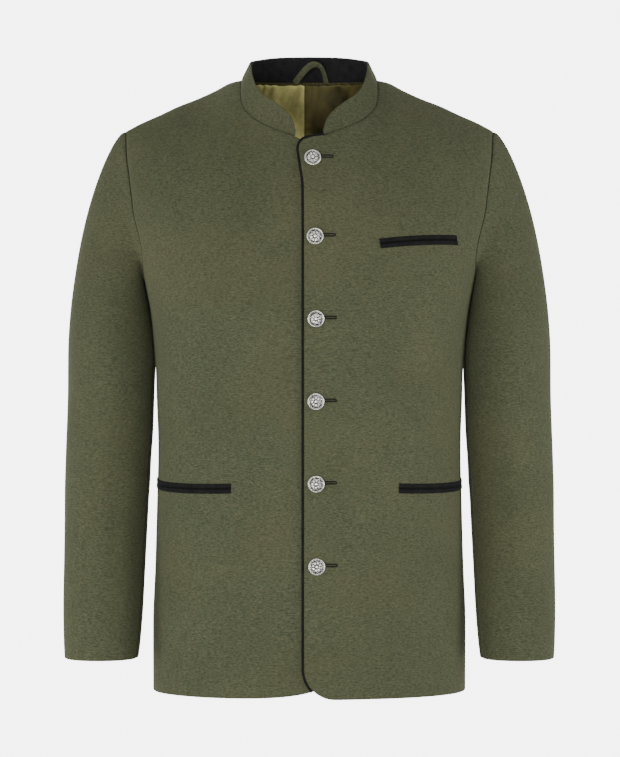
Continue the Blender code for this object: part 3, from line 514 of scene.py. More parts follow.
def rounded_walls(outer, normal, thick, roll, seams=(0, 0, 0, 0)):
    """Outer and inner walls with rolled borders, and the painted shade of each point beside a seam.

    Near a free border each wall drops towards the middle of the cloth by a quarter circle of its
    distance d from the border. seams says how much of the bottom, top, left and right border is
    sewn; there the cloth sinks by SEAM_DEPTH exp(-(d / SEAM_WIDTH)^2) and its inner wall is whole.
    Beside a seam the valley's shade is also painted into the colour, by the share times
    exp(-(d / SEAM_SHADE)^2).
    """
    rows, columns = border_lines(outer.shape[0]), border_lines(outer.shape[1])
    shape = outer.shape[:2]
    outer, normal = reread(outer, rows, columns), unit(reread(normal, rows, columns))
    up = np.linalg.norm(np.diff(outer, axis=0, prepend=outer[:1]), axis=-1).cumsum(axis=0)
    across = np.linalg.norm(np.diff(outer, axis=1, prepend=outer[:, :1]), axis=-1).cumsum(axis=1)
    drop, inner_drop, sunk, pressed = (np.zeros(outer.shape[:2]) for _ in range(4))
    distances = (up, up[-1:] - up, across, across[:, -1:] - across)
    for side, (distance, sewn_share) in enumerate(zip(distances, seams)):
        level_border = side < 2
        count, at = (shape[1], columns) if level_border else (shape[0], rows)
        share = np.interp(at, np.arange(count), np.broadcast_to(sewn_share, count))
        share = share if level_border else share[:, None]
        curl = roll_in(distance, roll)
        drop = np.maximum(drop, curl)
        inner_drop = np.maximum(inner_drop, curl * (1 - share))
        sunk = np.maximum(sunk, share * SEAM_DEPTH * bell(distance, SEAM_WIDTH))
        # Painted shade: the colour darkens beside a seam, where its valley lies in shade
        pressed = np.maximum(pressed, share * bell(distance, SEAM_SHADE))
    drop, inner_drop = (np.minimum(v, thick * NEARLY_HALF) for v in (drop, inner_drop))
    outside = outer - normal * (drop + sunk)[..., None]
    inside_wall = outer - normal * (thick - inner_drop + sunk)[..., None]
    return outside, inside_wall, pressed


def make_mesh(name, points, faces, material):
    """A mesh in metres from points in millimetres."""
    mesh = bpy.data.meshes.new(name)
    mesh.from_pydata((np.reshape(points, (-1, 3)) * MM).tolist(), [], faces)
    mesh.validate()
    mesh.materials.append(material)
    return mesh


def put_in_scene(name, data, place_at=(0, 0, 0), look_at=None):
    """An object at a place in metres, turned to face a point if one is given."""
    thing = bpy.data.objects.new(name, data)
    thing.location = place_at
    if look_at:
        away = Vector(place_at) - Vector(look_at)
        thing.rotation_euler = away.to_track_quat("Z", "Y").to_euler()
    bpy.context.collection.objects.link(thing)
    return thing


def make_piece(name, points, faces, finish, values=None, stands_for=None):
    """One smooth shaded piece that rides on the body; values are read by its finish by name."""
    slot, material = FINISHES[finish]
    mesh = make_mesh(name, points, faces, material)
    for attribute, numbers in (values or {}).items():
        layer = mesh.attributes.new(attribute, "FLOAT", "POINT")
        layer.data.foreach_set("value", np.asarray(numbers, np.float32).ravel())
    mesh.shade_smooth()
    mesh.set_sharp_from_angle(angle=radians(60))
    pieces[name] = piece = put_in_scene(name, mesh)
    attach(piece, "root")
    if stands_for:
        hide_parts(stands_for)


def skin(index):
    """The faces of a grid of point numbers, four corners each."""
    corners = (index[:-1, :-1], index[:-1, 1:], index[1:, 1:], index[1:, :-1])
    return np.stack([c.ravel() for c in corners], axis=-1).tolist()


def wall_faces(shape):
    """The faces of a wall between an outer grid and an inner one, closed round its borders."""
    outer = np.arange(np.prod(shape)).reshape(shape)
    inner = outer + outer.size
    low, high = (inner[0], outer[0]), (outer[-1], inner[-1])
    left, right = (outer[:, 0], inner[:, 0]), (inner[:, -1], outer[:, -1])
    grids = [outer, inner[::-1], *(np.stack(rim) for rim in (low, high, left, right))]
    return [face for grid in grids for face in skin(grid)]


def ring_faces(shape, way=1):
    """The faces between rings of points, then the caps of the first ring and the last one."""
    index = np.arange(np.prod(shape)).reshape(shape)
    closed = np.concatenate([index, index[:, :1]], axis=1)
    sides = skin(closed if way == 1 else closed.T)
    return sides + [index[0][::-way].tolist(), index[-1][::way].tolist()]


def sewn(name, walls, finish, value_name="pressed"):
    """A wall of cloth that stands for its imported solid: two grids of points and one of values."""
    outer, inner, values = walls
    faces = wall_faces(outer.shape[:2])
    make_piece(name, [outer, inner], faces, finish, {value_name: [values, values]}, name)


# ---- Finishes


def linear(srgb):
    """A hex sRGB colour as linear light: ((c + 0.055) / 1.055)^2.4 above the dark end."""
    c = np.frombuffer(bytes.fromhex(srgb), np.uint8) / 255
    light = np.where(c > 0.04045, ((c + 0.055) / 1.055) ** 2.4, c / 12.92)
    return (*light.tolist(), 1.0)


def fill(tree, node, **inputs):
    """Inputs by name, or as n0, n1 by number: each a number, a hex colour or another output."""
    for name, value in inputs.items():
        socket = node.inputs[int(name[1:]) if name[1:].isdigit() else name.replace("_", " ")]
        if isinstance(value, bpy.types.NodeSocket):
            tree.links.new(value, socket)
        else:
            socket.default_value = linear(value) if isinstance(value, str) else value


def add(tree, kind, settings=None, out=0, **inputs):
    """One node with its settings and links; gives back the output that is asked for."""
    node = tree.nodes.new("ShaderNode" + kind)
    for name, value in (settings or {}).items():
        setattr(node, name, value)
    fill(tree, node, **inputs)
    return node.outputs[out]


def blank(name):
    """A new material: itself, the places on the object, and the ways to add nodes and to fill it."""
    material = bpy.data.materials.new(name)
    material.use_nodes = True
    tree = material.node_tree
    node = partial(add, tree)
    shader = partial(fill, tree, tree.nodes["Principled BSDF"])
    return material, node("TexCoord", out="Object"), node, shader


def grain(millimetres):
    """The scale at which a pattern's largest grains have this size."""
    return 1 / (millimetres * MM)


def degrees(*turns):
    """Turns in degrees as radians."""
    return [radians(t) for t in turns]


def shares(node, a, share_a, b, share_b):
    """Two values added in shares."""
    return node("Math", TIMES_PLUS, n0=a, n1=share_a, n2=node("Math", TIMES, n0=b, n1=share_b))


def toned(node, value, low, high, first, second):
    """A colour that goes over into another while a value climbs from low to high."""
    amount = node("MapRange", Value=value, From_Min=low, From_Max=high)
    return node("Mix", COLOURS, 2, n0=amount, n6=first, n7=second)


COLOURS, TIMES, PLUS = {"data_type": "RGBA"}, {"operation": "MULTIPLY"}, {"operation": "ADD"}
TIMES_PLUS, LEAST = {"operation": "MULTIPLY_ADD"}, {"operation": "MINIMUM"}
PAINTED_SEAM_SHADE, PAINTED_HIGHLIGHT, HOLLOW = ({"attribute_name": name} for name in ("pressed", "crest", "hollow"))


def fulled_loden():
    """Fulled wool: green fibres with tawny and dark ones, brushed one way, soft and without gloss.

    Real fibres are far too fine to show; they are drawn about 1 mm thick and 4 mm long.
    """
    material, place, node, shader = blank("fulled_wool_loden")
    shader(Sheen_Weight=0.28, Sheen_Roughness=0.45, Sheen_Tint="b0b494")
    brushed = node("Mapping", Vector=place, Scale=(0.3, 0.3, 1))
    aslant = node("Mapping", Vector=place, Scale=(0.5, 0.5, 1), Rotation=degrees(6, 4, 0))
    turned = node("Mapping", Vector=place, Rotation=degrees(40, 20, 0))
    fibres, specks, patches, clouds, drift = (
        node("TexNoise", Vector=at, Scale=grain(size), Detail=detail, Roughness=rough)
        for at, size, detail, rough in (
            (brushed, 1.15, 5, 0.8),
            (aslant, 1.7, 3, 0.7),
            (place, 13, 3, 0.6),
            (place, 80, 2, 0.5),
            (turned, 110, 2, 0.5),
        )
    )
    speck, patched, shade, warmth = (
        node("MapRange", Value=value, From_Min=low, From_Max=high, To_Min=least, To_Max=most)
        for value, low, high, least, most in (
            (specks, 0.5, 0.7, 0, 1),
            (patches, 0.36, 0.66, 0.2, 0.6),
            (clouds, 0.35, 0.65, 0, 0.16),
            (drift, 0.36, 0.64, 0, 0.14),
        )
    )
    tawny = node("Math", TIMES, n0=speck, n1=patched)
    # Painted shade in the seam valleys: the colour goes towards a near black there
    seam = node("Math", TIMES, n0=node("Attribute", PAINTED_SEAM_SHADE, "Fac"), n1=0.8)
    colour = toned(node, fibres, 0.36, 0.64, LODEN_DARK, LODEN_LIGHT)
    overlaid = ((tawny, LODEN_TAWNY), (warmth, LODEN_TAWNY), (shade, LODEN_DARK), (seam, LODEN_PAINTED_SEAM_SHADE))
    for amount, over in overlaid:
        colour = node("Mix", COLOURS, 2, n0=amount, n6=colour, n7=over)
    nap = node("Math", TIMES_PLUS, n0=specks, n1=0.7, n2=fibres)
    relief = node("Bump", Height=nap, Strength=0.55, Distance=0.55 * MM)
    shader(Base_Color=colour, Roughness=0.92, Specular_IOR_Level=0.18, Normal=relief)
    return material


def black_velvet(name, deep, worn):
    """Cotton velveteen: near black, with a short upright pile that lightens at a glancing angle.

    The pile is drawn in tufts of 0.7 mm, coarser than it is, so that it shows.
    """
    material, place, node, shader = blank(name)
    shader(Sheen_Weight=0.25, Sheen_Roughness=0.35, Sheen_Tint="787880")
    upright = node("Mapping", Vector=place, Scale=(1, 1, 0.35))
    pile = node("TexNoise", Vector=upright, Scale=grain(0.7), Detail=3, Roughness=0.7)
    brushed = node("TexNoise", Vector=place, Scale=grain(9), Detail=3, Roughness=0.6)
    open_pile = toned(node, shares(node, pile, 0.6, brushed, 0.5), 0.35, 0.75, deep, worn)
    # Painted shade: where a seam's shade is painted, at the slit between the jets, the pile goes nearly
    # black
    painted_slit_shade = node("Math", TIMES, n0=node("Attribute", PAINTED_SEAM_SHADE, "Fac"), n1=8)
    painted_slit_shade = node("Math", LEAST, n0=painted_slit_shade, n1=1)
    colour = node("Mix", COLOURS, 2, n0=painted_slit_shade, n6=open_pile, n7="020203")
    relief = node("Bump", Height=pile, Strength=0.5, Distance=0.25 * MM)
    shader(Base_Color=colour, Roughness=0.95, Specular_IOR_Level=0.12, Normal=relief)
    return material


def shot_satin(name, dull, bright, weave_turn):
    """Shot satin: long floats of one colour over another, smooth and gleaming along the floats.

    The floats are drawn half a millimetre wide, coarser than real ones, so that they show.
    """
    material, place, node, shader = blank(name)
    shader(Sheen_Weight=0.2, Sheen_Roughness=0.3, Sheen_Tint="beb05a", Anisotropic=0.55)
    drawn = node("Mapping", Vector=place, Scale=(1, 1, 0.06), Rotation=degrees(0, weave_turn, 0))
    slack = node("Mapping", Vector=place, Scale=(1, 1, 0.4))
    floats = node("TexNoise", Vector=drawn, Scale=grain(0.5), Detail=2, Roughness=0.6)
    slubs = node("TexNoise", Vector=slack, Scale=grain(16), Detail=3, Roughness=0.55)
    tone = shares(node, floats, 0.35, slubs, 0.75)
    tone = node("MapRange", Value=tone, From_Min=0.38, From_Max=0.72, To_Max=0.6)
    # The weave's tone plus the painted highlight on the ripple crests and along the top edge
    crest = node("Math", PLUS, n0=tone, n1=node("Attribute", PAINTED_HIGHLIGHT, "Fac"))
    colour = toned(node, crest, 0.1, 1, dull, bright)
    rough = node("MapRange", Value=floats, From_Min=0.3, From_Max=0.7, To_Min=0.36, To_Max=0.48)
    relief = node("Bump", Height=floats, Strength=0.4, Distance=0.08 * MM)
    shader(Base_Color=colour, Roughness=rough, Specular_IOR_Level=0.35, Normal=relief)
    return material


def twill_tape():
    """Cotton twill tape: slanting ribs, dull and tawny.

    Real ribs are about 1 mm apart. They are drawn nearly 3 mm apart, so that they show: a diagonal
    wave repeats every 0.63 of its grain along an axis.
    """
    material, place, node, shader = blank("cotton_twill_tape")
    slanting, wavy = {"bands_direction": "DIAGONAL"}, {"Distortion": 1.2, "Detail_Scale": 3}
    ribs = node("TexWave", slanting, "Fac", Vector=place, Scale=grain(6.3), **wavy)
    worn = node("TexNoise", Vector=place, Scale=grain(6), Detail=3, Roughness=0.6)
    colour = toned(node, shares(node, ribs, 0.5, worn, 0.6), 0.2, 0.9, "3e3a22", "605a38")
    relief = node("Bump", Height=ribs, Strength=0.5, Distance=0.2 * MM)
    shader(Base_Color=colour, Roughness=0.85, Specular_IOR_Level=0.2, Normal=relief)
    return material


def dark_twist():
    """Buttonhole silk twist: dark olive, tightly wound, with a faint gloss on each turn.

    Its strands are drawn half a millimetre thick, coarser than real ones, so that they show.
    """
    material, place, node, shader = blank("dark_silk_twist")
    strands = node("TexNoise", Vector=place, Scale=grain(0.5), Detail=2, Roughness=0.6)
    colour = toned(node, strands, 0.3, 0.7, "0a0a05", "1d1b10")
    relief = node("Bump", Height=strands, Strength=0.5, Distance=0.12 * MM)
    shader(Roughness=0.6, Specular_IOR_Level=0.2, Sheen_Weight=0.05)
    shader(Base_Color=colour, Normal=relief)
    return material


def old_silver():
    """Silvered brass: dark patina in the hollows, bright rubbed high places, and fine scuffs."""
    material, place, node, shader = blank("silvered_brass_patina")
    cloud, rubbed, scuffs = (
        node("TexNoise", Vector=place, Scale=grain(size), Detail=detail, Roughness=rough)
        for size, detail, rough in ((2.2, 4, 0.65), (0.9, 3, 0.6), (0.35, 3, 0.7))
    )
    cloud = node("MapRange", Value=cloud, From_Min=0.35, From_Max=0.75, To_Min=-0.2, To_Max=0.2)
    tarnish = node("Math", PLUS, n0=node("Attribute", HOLLOW, "Fac"), n1=cloud)
    bright = node("Mix", COLOURS, 2, n0=rubbed, n6="f0efe6", n7="fefdf7")
    colour = toned(node, tarnish, 0.2, 0.72, bright, "201f1c")
    rough = node("MapRange", Value=tarnish, From_Min=0.2, From_Max=0.9, To_Min=0.18, To_Max=0.55)
    relief = node("Bump", Height=scuffs, Strength=0.5, Distance=0.05 * MM)
    shader(Base_Color=colour, Metallic=1, Roughness=rough, Normal=relief)
    return material


def pale_paper():
    """A matt pale floor that is open from beneath, with a glow that only the eye sees."""
    material, place, node, shader = blank("pale_floor_paint")
    clouds = node("TexNoise", Vector=place, Scale=grain(40), Detail=3, Roughness=0.6)
    colour = node("Mix", COLOURS, 2, n0=clouds, n6="ececeb", n7="f2f2f1")
    glow = node("Math", TIMES, n0=node("LightPath", out="Is Camera Ray"), n1=2.6)
    shader(Base_Color=colour, Roughness=0.9, Specular_IOR_Level=0.2)
    shader(Emission_Color="ffffff", Emission_Strength=glow)
    tree, beneath = material.node_tree, node("NewGeometry", out="Backfacing")
    painted = tree.nodes["Principled BSDF"].outputs[0]
    mix = node("MixShader", n0=beneath, n1=painted, n2=node("BsdfTransparent"))
    fill(tree, tree.nodes["Material Output"], Surface=mix)
    return material


LODEN_DARK, LODEN_LIGHT, LODEN_TAWNY = "363c2b", "676d52", "6c5f44"
# The colour of the painted shade in the seams and on the collar
LODEN_PAINTED_SEAM_SHADE = "161710"

# Each finish: the record's slot that it belongs to, and its material
FINISHES = {
    "loden": ("loden", fulled_loden()),
    "velvet": ("black_velvet", black_velvet("black_velvet_facing", "131314", "2a292b")),
    "braid": ("black_velvet", black_velvet("black_velvet_braid", "121212", "272726")),
    # One shot satin in two copies: a lit one, and one painted darker as shade whose floats run across
    "satin_painted_lit": ("satin", shot_satin("shot_satin_painted_lit", "706b3c", "ece494", 0)),
    "satin_painted_shade": ("satin", shot_satin("shot_satin_painted_shade", "14120b", "6a6239", 90)),
    "tape": ("tape", twill_tape()),
    "twist": ("loden", dark_twist()),
    "silver": ("old_silver", old_silver()),
}
pieces = {}


# ---- The two fronts and the back
below, everything = slice(None, ROWS_BELOW + 1), slice(None)


def pull_in(grid, **borders):
    """Chosen borders of a grid moved inwards along it by half a seam."""
    lines = {"top": (0, -1, -2), "left": (1, 0, 1), "right": (1, -1, -2)}
    grid = grid.copy()
    for name, part in borders.items():
        axis, at, beside = lines[name]
        view = np.moveaxis(grid, axis, 0)
        view[at, part] += unit(view[beside, part] - view[at, part]) * STITCHED / 2
    return grid


over, over_out = body_shell(front_places(OVER_EDGE, OVER_TOP, True), 1, LAP)
under, under_out = body_shell(front_places(UNDER_EDGE, UNDER_TOP, False), -1)
behind, behind_out = body_shell(back_places())

over_shell, under_shell = (pull_in(g, right=below, top=everything) for g in (over, under))
shoulders = np.r_[0 : COLUMNS_FRONT + 1, -COLUMNS_FRONT - 1 : 0]
behind_shell = pull_in(behind, left=below, right=below, top=shoulders)

at_the_neck = (np.arange(len(over)) >= len(over) - ROWS_NECK - 1) * NECK_SEAM
front_seams = (0, 1, at_the_neck, 1)
sewn("front_left", rounded_walls(over_shell, over_out, LODEN, ROLL, front_seams), "loden")
walls = rounded_walls(under_shell, under_out, LODEN, ROLL, front_seams)
sewn("front_right", mirrored(walls), "loden")
from_middle = np.abs(np.linspace(-0.5, 0.5, behind.shape[1]))
behind_seams = (0, np.where(from_middle < 0.2, NECK_SEAM, 1), 1, 1)
sewn("back", rounded_walls(behind_shell, behind_out, LODEN, ROLL, behind_seams), "loden")


# ---- Sleeves


def sleeve_section(z, turn):
    """A level squared oval at height z; turn runs 0 to 1 from outside by way of the back."""
    size = {name: smooth(-SLEEVE["z"], SLEEVE[name], -z) for name in SLEEVE if name != "z"}
    aside, back = np.cos(turn * 2 * pi), np.sin(turn * 2 * pi)
    reach = oval_reach(aside, back, SLEEVE_SQUARENESS)
    x = size["middle_x"] + size["half_width"] * reach * aside
    y = size["middle_y"] + size["half_depth"] * reach * back
    return np.stack([x, y, 0 * x + z], axis=-1)


def sleeve_surface():
    """The cap's lines are cubics from the armhole, (1-t)^3 a + 3t(1-t)^2 b + 3t^2(1-t) c + t^3 d;
    below it lie the level sections. Bells press the soft creases in.
    """
    front, back = (armhole(angles, SLEEVE_COLUMNS) for angles in ("front_angle", "back_angle"))
    ring = np.concatenate([back[::-1], front[1:]])
    turn = np.linspace(0, 1, len(ring))
    start = body(ring[:, 0], ring[:, 1])
    normal = body_normal(ring[:, 0], ring[:, 1])
    normal[[0, -1], 1] = 0
    normal = unit(normal)
    tangent = np.roll(start[:-1], -1, axis=0) - np.roll(start[:-1], 1, axis=0)
    tangent = unit(np.concatenate([tangent, tangent[:1]]))
    away = unit(np.cross(tangent, normal))
    high = (np.cos(turn * 2 * pi) * 0.5 + 0.5)[:, None]
    leave = start + away * STITCHED
    out_handle = leave + away * (PIT_EASE + (HEAD_EASE - PIT_EASE) * high**2)
    out_handle += normal * PIT_ROLL * (1 - high)
    landing = sleeve_section(SLEEVE["z"][0], turn)
    in_handle = landing + UP * (PIT_FALL + (HEAD_FALL - PIT_FALL) * high**1.5)
    in_handle[:, 0] -= PIT_TUCK * ((1 - high) ** 2)[:, 0]
    t = (np.linspace(0, 1, CAP_LINES)[:, None, None] ** 1.5) ** 1.15
    cap = (
        leave * (1 - t) ** 3
        + out_handle * 3 * t * (1 - t) ** 2
        + in_handle * 3 * t**2 * (1 - t)
        + landing * t**3
    )
    heights = np.linspace(SLEEVE["z"][0], SLEEVE["z"][-1], ARM_LINES + 1)[1:, None]
    arm = sleeve_section(heights + 0 * turn, turn[None])
    grid = np.concatenate([cap, arm])[::-1]
    wide = np.concatenate([grid[:, -2:-1], grid, grid[:, 1:2]], axis=1)
    normals = grid_normals(wide)[:, 1:-1]
    normals[-1] = normal
    around = np.broadcast_to(turn[None], grid.shape[:2])
    trough = sleeve_folds(around, grid[..., 2])
    return grid - normals * trough[..., None], normals


def sleeve_folds(turn, z):
    """A sum of bells round and down the sleeve, and a slow ripple, in millimetres of trough."""
    trough = 0.3 * np.sin(z / 37 + 5 * np.sin(turn * 2 * pi)) * np.sin(turn * 4 * pi + z / 90)
    for at, height, length, width, depth in zip(*SLEEVE_FOLDS.values()):
        beside = (np.remainder(turn - at + 0.5, 1) - 0.5) * SLEEVE_ROUND
        trough = trough + depth * bell(beside, width) * bell(z - height, length)
    return trough


sleeve, sleeve_out = sleeve_surface()
last = sleeve.shape[1] - 1
back_seam, front_seam = round(last * BACK_SEAM_SHARE), round(last * FRONT_SEAM_SHARE)
for part, pick in {
    "under": lambda g: g[:, back_seam : front_seam + 1],
    "upper": lambda g: np.concatenate([g[:, front_seam:-1], g[:, : back_seam + 1]], axis=1),
}.items():
    shell = pull_in(pick(sleeve), left=everything, right=everything)
    walls = rounded_walls(shell, pick(sleeve_out), LODEN, ROLL, (0, 1, 1, 1))
    sewn(f"sleeve_left_{part}", walls, "loden")
    sewn(f"sleeve_right_{part}", mirrored(walls), "loden")


# ---- The collar, on the neck edges of the three panels
neck_rows = slice(-ROWS_NECK - 1, -1)
neck_columns = slice(COLUMNS_FRONT, -COLUMNS_FRONT)
right, right_out = under[neck_rows, 0][::-1] * FLIP, under_out[neck_rows, 0][::-1] * FLIP
seam = np.concatenate([over[neck_rows, 0], behind[-1, neck_columns], right])
seam_out = np.concatenate([over_out[neck_rows, 0], behind_out[-1, neck_columns], right_out])
front_at, back_at = collar_stations()
half = np.concatenate([front_at[:-1], back_at])
edge_names = ("edge_x", "edge_y", "edge_z")
edge = np.stack([smooth(COLLAR["station"], COLLAR[k], half) for k in edge_names], axis=-1)
free_edge = np.concatenate([edge, edge[::-1][1:] * FLIP])
free_edge[: len(front_at), 1] -= LAP * (1 - ease((edge[: len(front_at), 0] - 10) / 40))

tangent = unit(np.gradient(seam, axis=0))
base = seam + unit(np.cross(seam_out, tangent)) * STITCHED
rise = np.linspace(0, 1, COLLAR_ROWS + 1)[:, None, None]
stand = base[None] * (1 - rise) + free_edge[None] * rise
stand_out = grid_normals(stand)
stand_out[0] = unit(seam_out)
walls = rounded_walls(stand, stand_out, LODEN, ROLL, (NECK_SEAM, 0, 0, 0))
# Painted shade: the whole stand is darkened in the colour by at least this much
collar_painted_shade = np.maximum(walls[2], COLLAR_PAINTED_SHADE)
sewn("collar_outer", (*walls[:2], collar_painted_shade), "loden")
rows = COLLAR_ROWS * np.linspace(0.005, 0.965, COLLAR_ROWS + 1)
columns = np.arange(FACING_INSET, stand.shape[1] - FACING_INSET)
facing_out = unit(reread(stand_out, rows, columns))
facing = reread(stand, rows, columns) - facing_out * (LODEN + SEAM)
sewn("collar_inner", rounded_walls(facing, facing_out, BRAID, FACING_ROLL), "velvet")


# ---- Tubes: piping, buttonhole purls and the loop


def tube(name, path, wide, flat, half_wide, half_flat, sides, finish, stands_for=None):
    """Rings path + wide cos(t) a + flat sin(t) b carried along a path, closed at both ends."""
    t = (np.arange(sides) * 2 * pi / sides)[:, None]
    a, b = (np.broadcast_to(v, len(path))[:, None, None] for v in (half_wide, half_flat))
    rings = path[:, None] + wide[:, None] * a * np.cos(t) + flat[:, None] * b * np.sin(t)
    make_piece(name, rings, ring_faces(rings.shape[:2]), finish, stands_for=stands_for)


rim_rows = slice(0, ROWS_BELOW + ROWS_EDGE + ROWS_TOP + 1)
rim, rim_out = over[rim_rows, 0], over_out[rim_rows, 0]
rim_aside = unit(np.cross(np.gradient(rim, axis=0), rim_out))
name, half_wide = "front_piping", PIPING_WIDTH / 2
cord = rim - rim_aside * (SEAM + half_wide) - rim_out * PIPING_SUNK
tube(name, cord, rim_aside, rim_out, half_wide, PIPING_HALF_THICK, 14, "braid", name)


# ---- Pockets: two jets either side of the slit


def jet_places(near_x, heights, length, lean, way):
    """The x and height of a jet's points: rows u from -1 to 1 across it, columns along it.

    Its middle line is the parabola through the three heights, and it leans by x = -lean z.
    """
    far_x = 0.99999 * body_size("half_width", heights[0])
    x = near_x + (far_x - near_x) * (1 - np.linspace(1, 0, 1500) ** 3)
    line, _ = body_shell(seen_from_front(x, heights[0]), 1)
    share = np.linspace(0, 1, JET_COLUMNS)
    x = np.interp(share * length, way_along(line), x)
    middle = np.polyval(np.polyfit((0, 0.5, 1), heights, 2), share)
    u = np.linspace(-1, 1, JET_ROWS)
    across = (way * (JET_FAR + JET_NEAR) + u * (JET_FAR - JET_NEAR))[:, None] / 2
    return x - lean * across, middle + across, u


def jets(name, side, *sizes):
    """The two jets of a pocket, each sunk along the slit between them and painted near black there as
    shade.

    Their outside lies off the front by 0.55 + 0.45 sqrt(1 - u^2) of their thickness.
    """
    lap, way_round = (LAP, 1) if side == "left" else (0, -1)
    for part, way, slit in (("upper", 1, (SLIT_SUNK_AND_SHADED, 0, 0, 0)), ("lower", -1, (0, SLIT_SUNK_AND_SHADED, 0, 0))):
        x, z, u = jet_places(*sizes, way)
        points, out = body_shell(seen_from_front(x, z), way_round, lap)
        lift = JET_THICK * (0.55 + 0.45 * np.sqrt(np.clip(1 - u**2, 0, 1)))[:, None, None]
        raised = points + out * (JET_LIFT + lift)
        walls = rounded_walls(raised, out, JET_THICK * 0.9, JET_ROLL, slit)
        sewn(f"{name}_{part}", walls if side == "left" else mirrored(walls), "braid")


for name, (side, *sizes) in POCKETS.items():
    jets(name, side, *sizes)


# ---- Buttons: a rope rim round a ringed flower of eight petals


def button_relief(r, turn):
    """Height of a button's face in millimetres: a dome, a boss, eight veined petals, a beaded ring
    and a roped rim, each a bell or a cosine of the radius r and the turn.
    """
    dome = FACE_RISE + FACE_DOME * (1 - (r / BUTTON_RADIUS) ** 2)
    boss = 0.75 * np.sqrt(np.clip(1 - (r / 1.75) ** 2, 0, 1))
    beads = 0.3 * bell(r - 2.35, 0.38) * (0.5 + 0.5 * np.cos(16 * turn)) ** 0.7
    length = np.clip((r - 2.6) / 4.4, 0, 1)
    swing = np.abs(np.remainder(turn * PETALS / (2 * pi), 1) - 0.5) * 2
    leaf = np.sin(pi * length**0.75) ** 0.6 * np.clip(1.25 * (1 - swing**2.2), 0, 1)
    vein = 0.22 * bell(swing, 0.12) * np.sin(pi * length)
    between = np.abs(np.remainder(turn * PETALS / (2 * pi) + 0.5, 1) - 0.5) * 2
    bud = 0.55 * bell(r - 6.5, 0.75) * bell(between, 0.22)
    ring = 0.35 * bell(r - 7.75, 0.28)
    rope = 0.55 * bell(r - 9.05, 0.55) * (0.82 + 0.18 * np.cos(44 * turn + 5 * r))
    field = np.where((r > 2.6) & (r < 7.4), -0.18, 0)
    return dome + boss + beads + 0.62 * leaf - vein + bud + ring + rope + field


def button(number, centre, out, shank):
    """A profile turned round its axis: the relief, the rolled rim, the flat back and the shank.

    Hollow is how far the face lies below a plain dome over it, 1 at HOLLOW_DEPTH.
    """
    turn = np.arange(BUTTON_SIDES) * 2 * pi / BUTTON_SIDES
    face_r = np.concatenate([[0.04, 0.3], np.linspace(0.6, 9.55, FACE_RINGS)])
    turned = np.array([*BUTTON_BACK, (1.5, -0.3), (1.5, 0.2 - shank), (1.3, -shank)])
    r = np.concatenate([face_r, turned[:, 0]])[:, None] + 0 * turn
    height = np.concatenate([button_relief(face_r[:, None], turn), turned[:, 1:] + 0 * turn])
    over_it = FACE_RISE + 0.65 + FACE_DOME * (1 - (r / BUTTON_RADIUS) ** 2)
    hollow = np.clip((over_it - height) / HOLLOW_DEPTH, 0, 1)
    hollow[len(face_r) :] = 0.4
    x_axis = unit(np.cross(UP, out))
    axes = np.stack([x_axis, np.cross(out, x_axis), out])
    spin = turn + radians(11 + 37 * number)
    points = centre + np.stack([r * np.cos(spin), r * np.sin(spin), height], axis=-1) @ axes
    name, faces = f"button_{number}", ring_faces(r.shape, -1)
    make_piece(name, points, faces, "silver", {"hollow": hollow}, name)


def buttonhole(number, centre, out):
    """Purl stitches round a slit: a bar whose half width swells by a cosine at every stitch."""
    x_axis = unit(np.cross(UP, out))
    run = np.linspace(SLIT_START, SLIT_STOP, 120)
    bend = np.linspace(-pi / 2, pi / 2, 14)[1:-1]
    along_it = np.concatenate([run, SLIT_STOP + SLIT_GAP * np.cos(bend), run[::-1]])
    beside = SLIT_GAP * np.concatenate([run**0, -np.sin(bend), -(run**0)])
    x, z = centre[0] + along_it * x_axis[0], centre[2] + SLIT_RISE + beside
    points, outward = body_shell(seen_from_front(x, z), 1, LAP)
    swell = 0.5 + 0.5 * np.cos(way_along(points) / STITCH_STEP * 2 * pi)
    path = points + outward * 0.12
    wide = unit(np.cross(np.gradient(path, axis=0), outward))
    half_wide, half_flat = 0.66 + 0.4 * swell, 0.34 + 0.22 * swell
    tube(f"buttonhole_{number}", path, wide, outward, half_wide, half_flat, 8, "twist")


for number, (x, z) in enumerate(zip(BUTTONS["x"], BUTTONS["z"]), 1):
    centre, out = body_shell(seen_from_front(x, z), 1, LAP)
    beneath, _ = body_shell(seen_from_front(-x, z), -1)
    shank = np.dot(centre - beneath * FLIP, out) - SEAM + BUTTON_LIFT
    button(number, centre + out * BUTTON_LIFT, out, shank)
    buttonhole(number, centre, out)


# ---- Lining, tape and hanger loop inside the back
inside = behind - behind_out * LODEN
at_height = (inside[..., 2] > -60).argmax(axis=0)
level_x = inside[at_height, np.arange(inside.shape[1]), 0]
columns = np.arange(inside.shape[1], dtype=float)


def column_of(x):
    """The column of the back that passes x at the height of the neck tape."""
    return np.interp(-x, -level_x, columns)


def way_from_top(grid):
    """Each point's distance down its column from the grid's last row."""
    steps = np.linalg.norm(np.diff(grid, axis=0, append=grid[-1:]), axis=-1)
    return steps[::-1].cumsum(axis=0)[::-1]


def strip(start_x, stop_x, rows, gap, count, ripple=None):
    """A strip inside the back, lying off it by a gap and by its ripple."""
    at = np.linspace(column_of(start_x), column_of(stop_x), count)
    where = np.broadcast_arrays(rows[:, None], at[None])
    inwards = -unit(read_grid(behind_out, *where))
    outer = read_grid(inside, *where) + inwards * gap
    if ripple is not None:
        outer = outer + inwards * ripple(outer, way_from_top(outer))[..., None]
    return outer, inwards


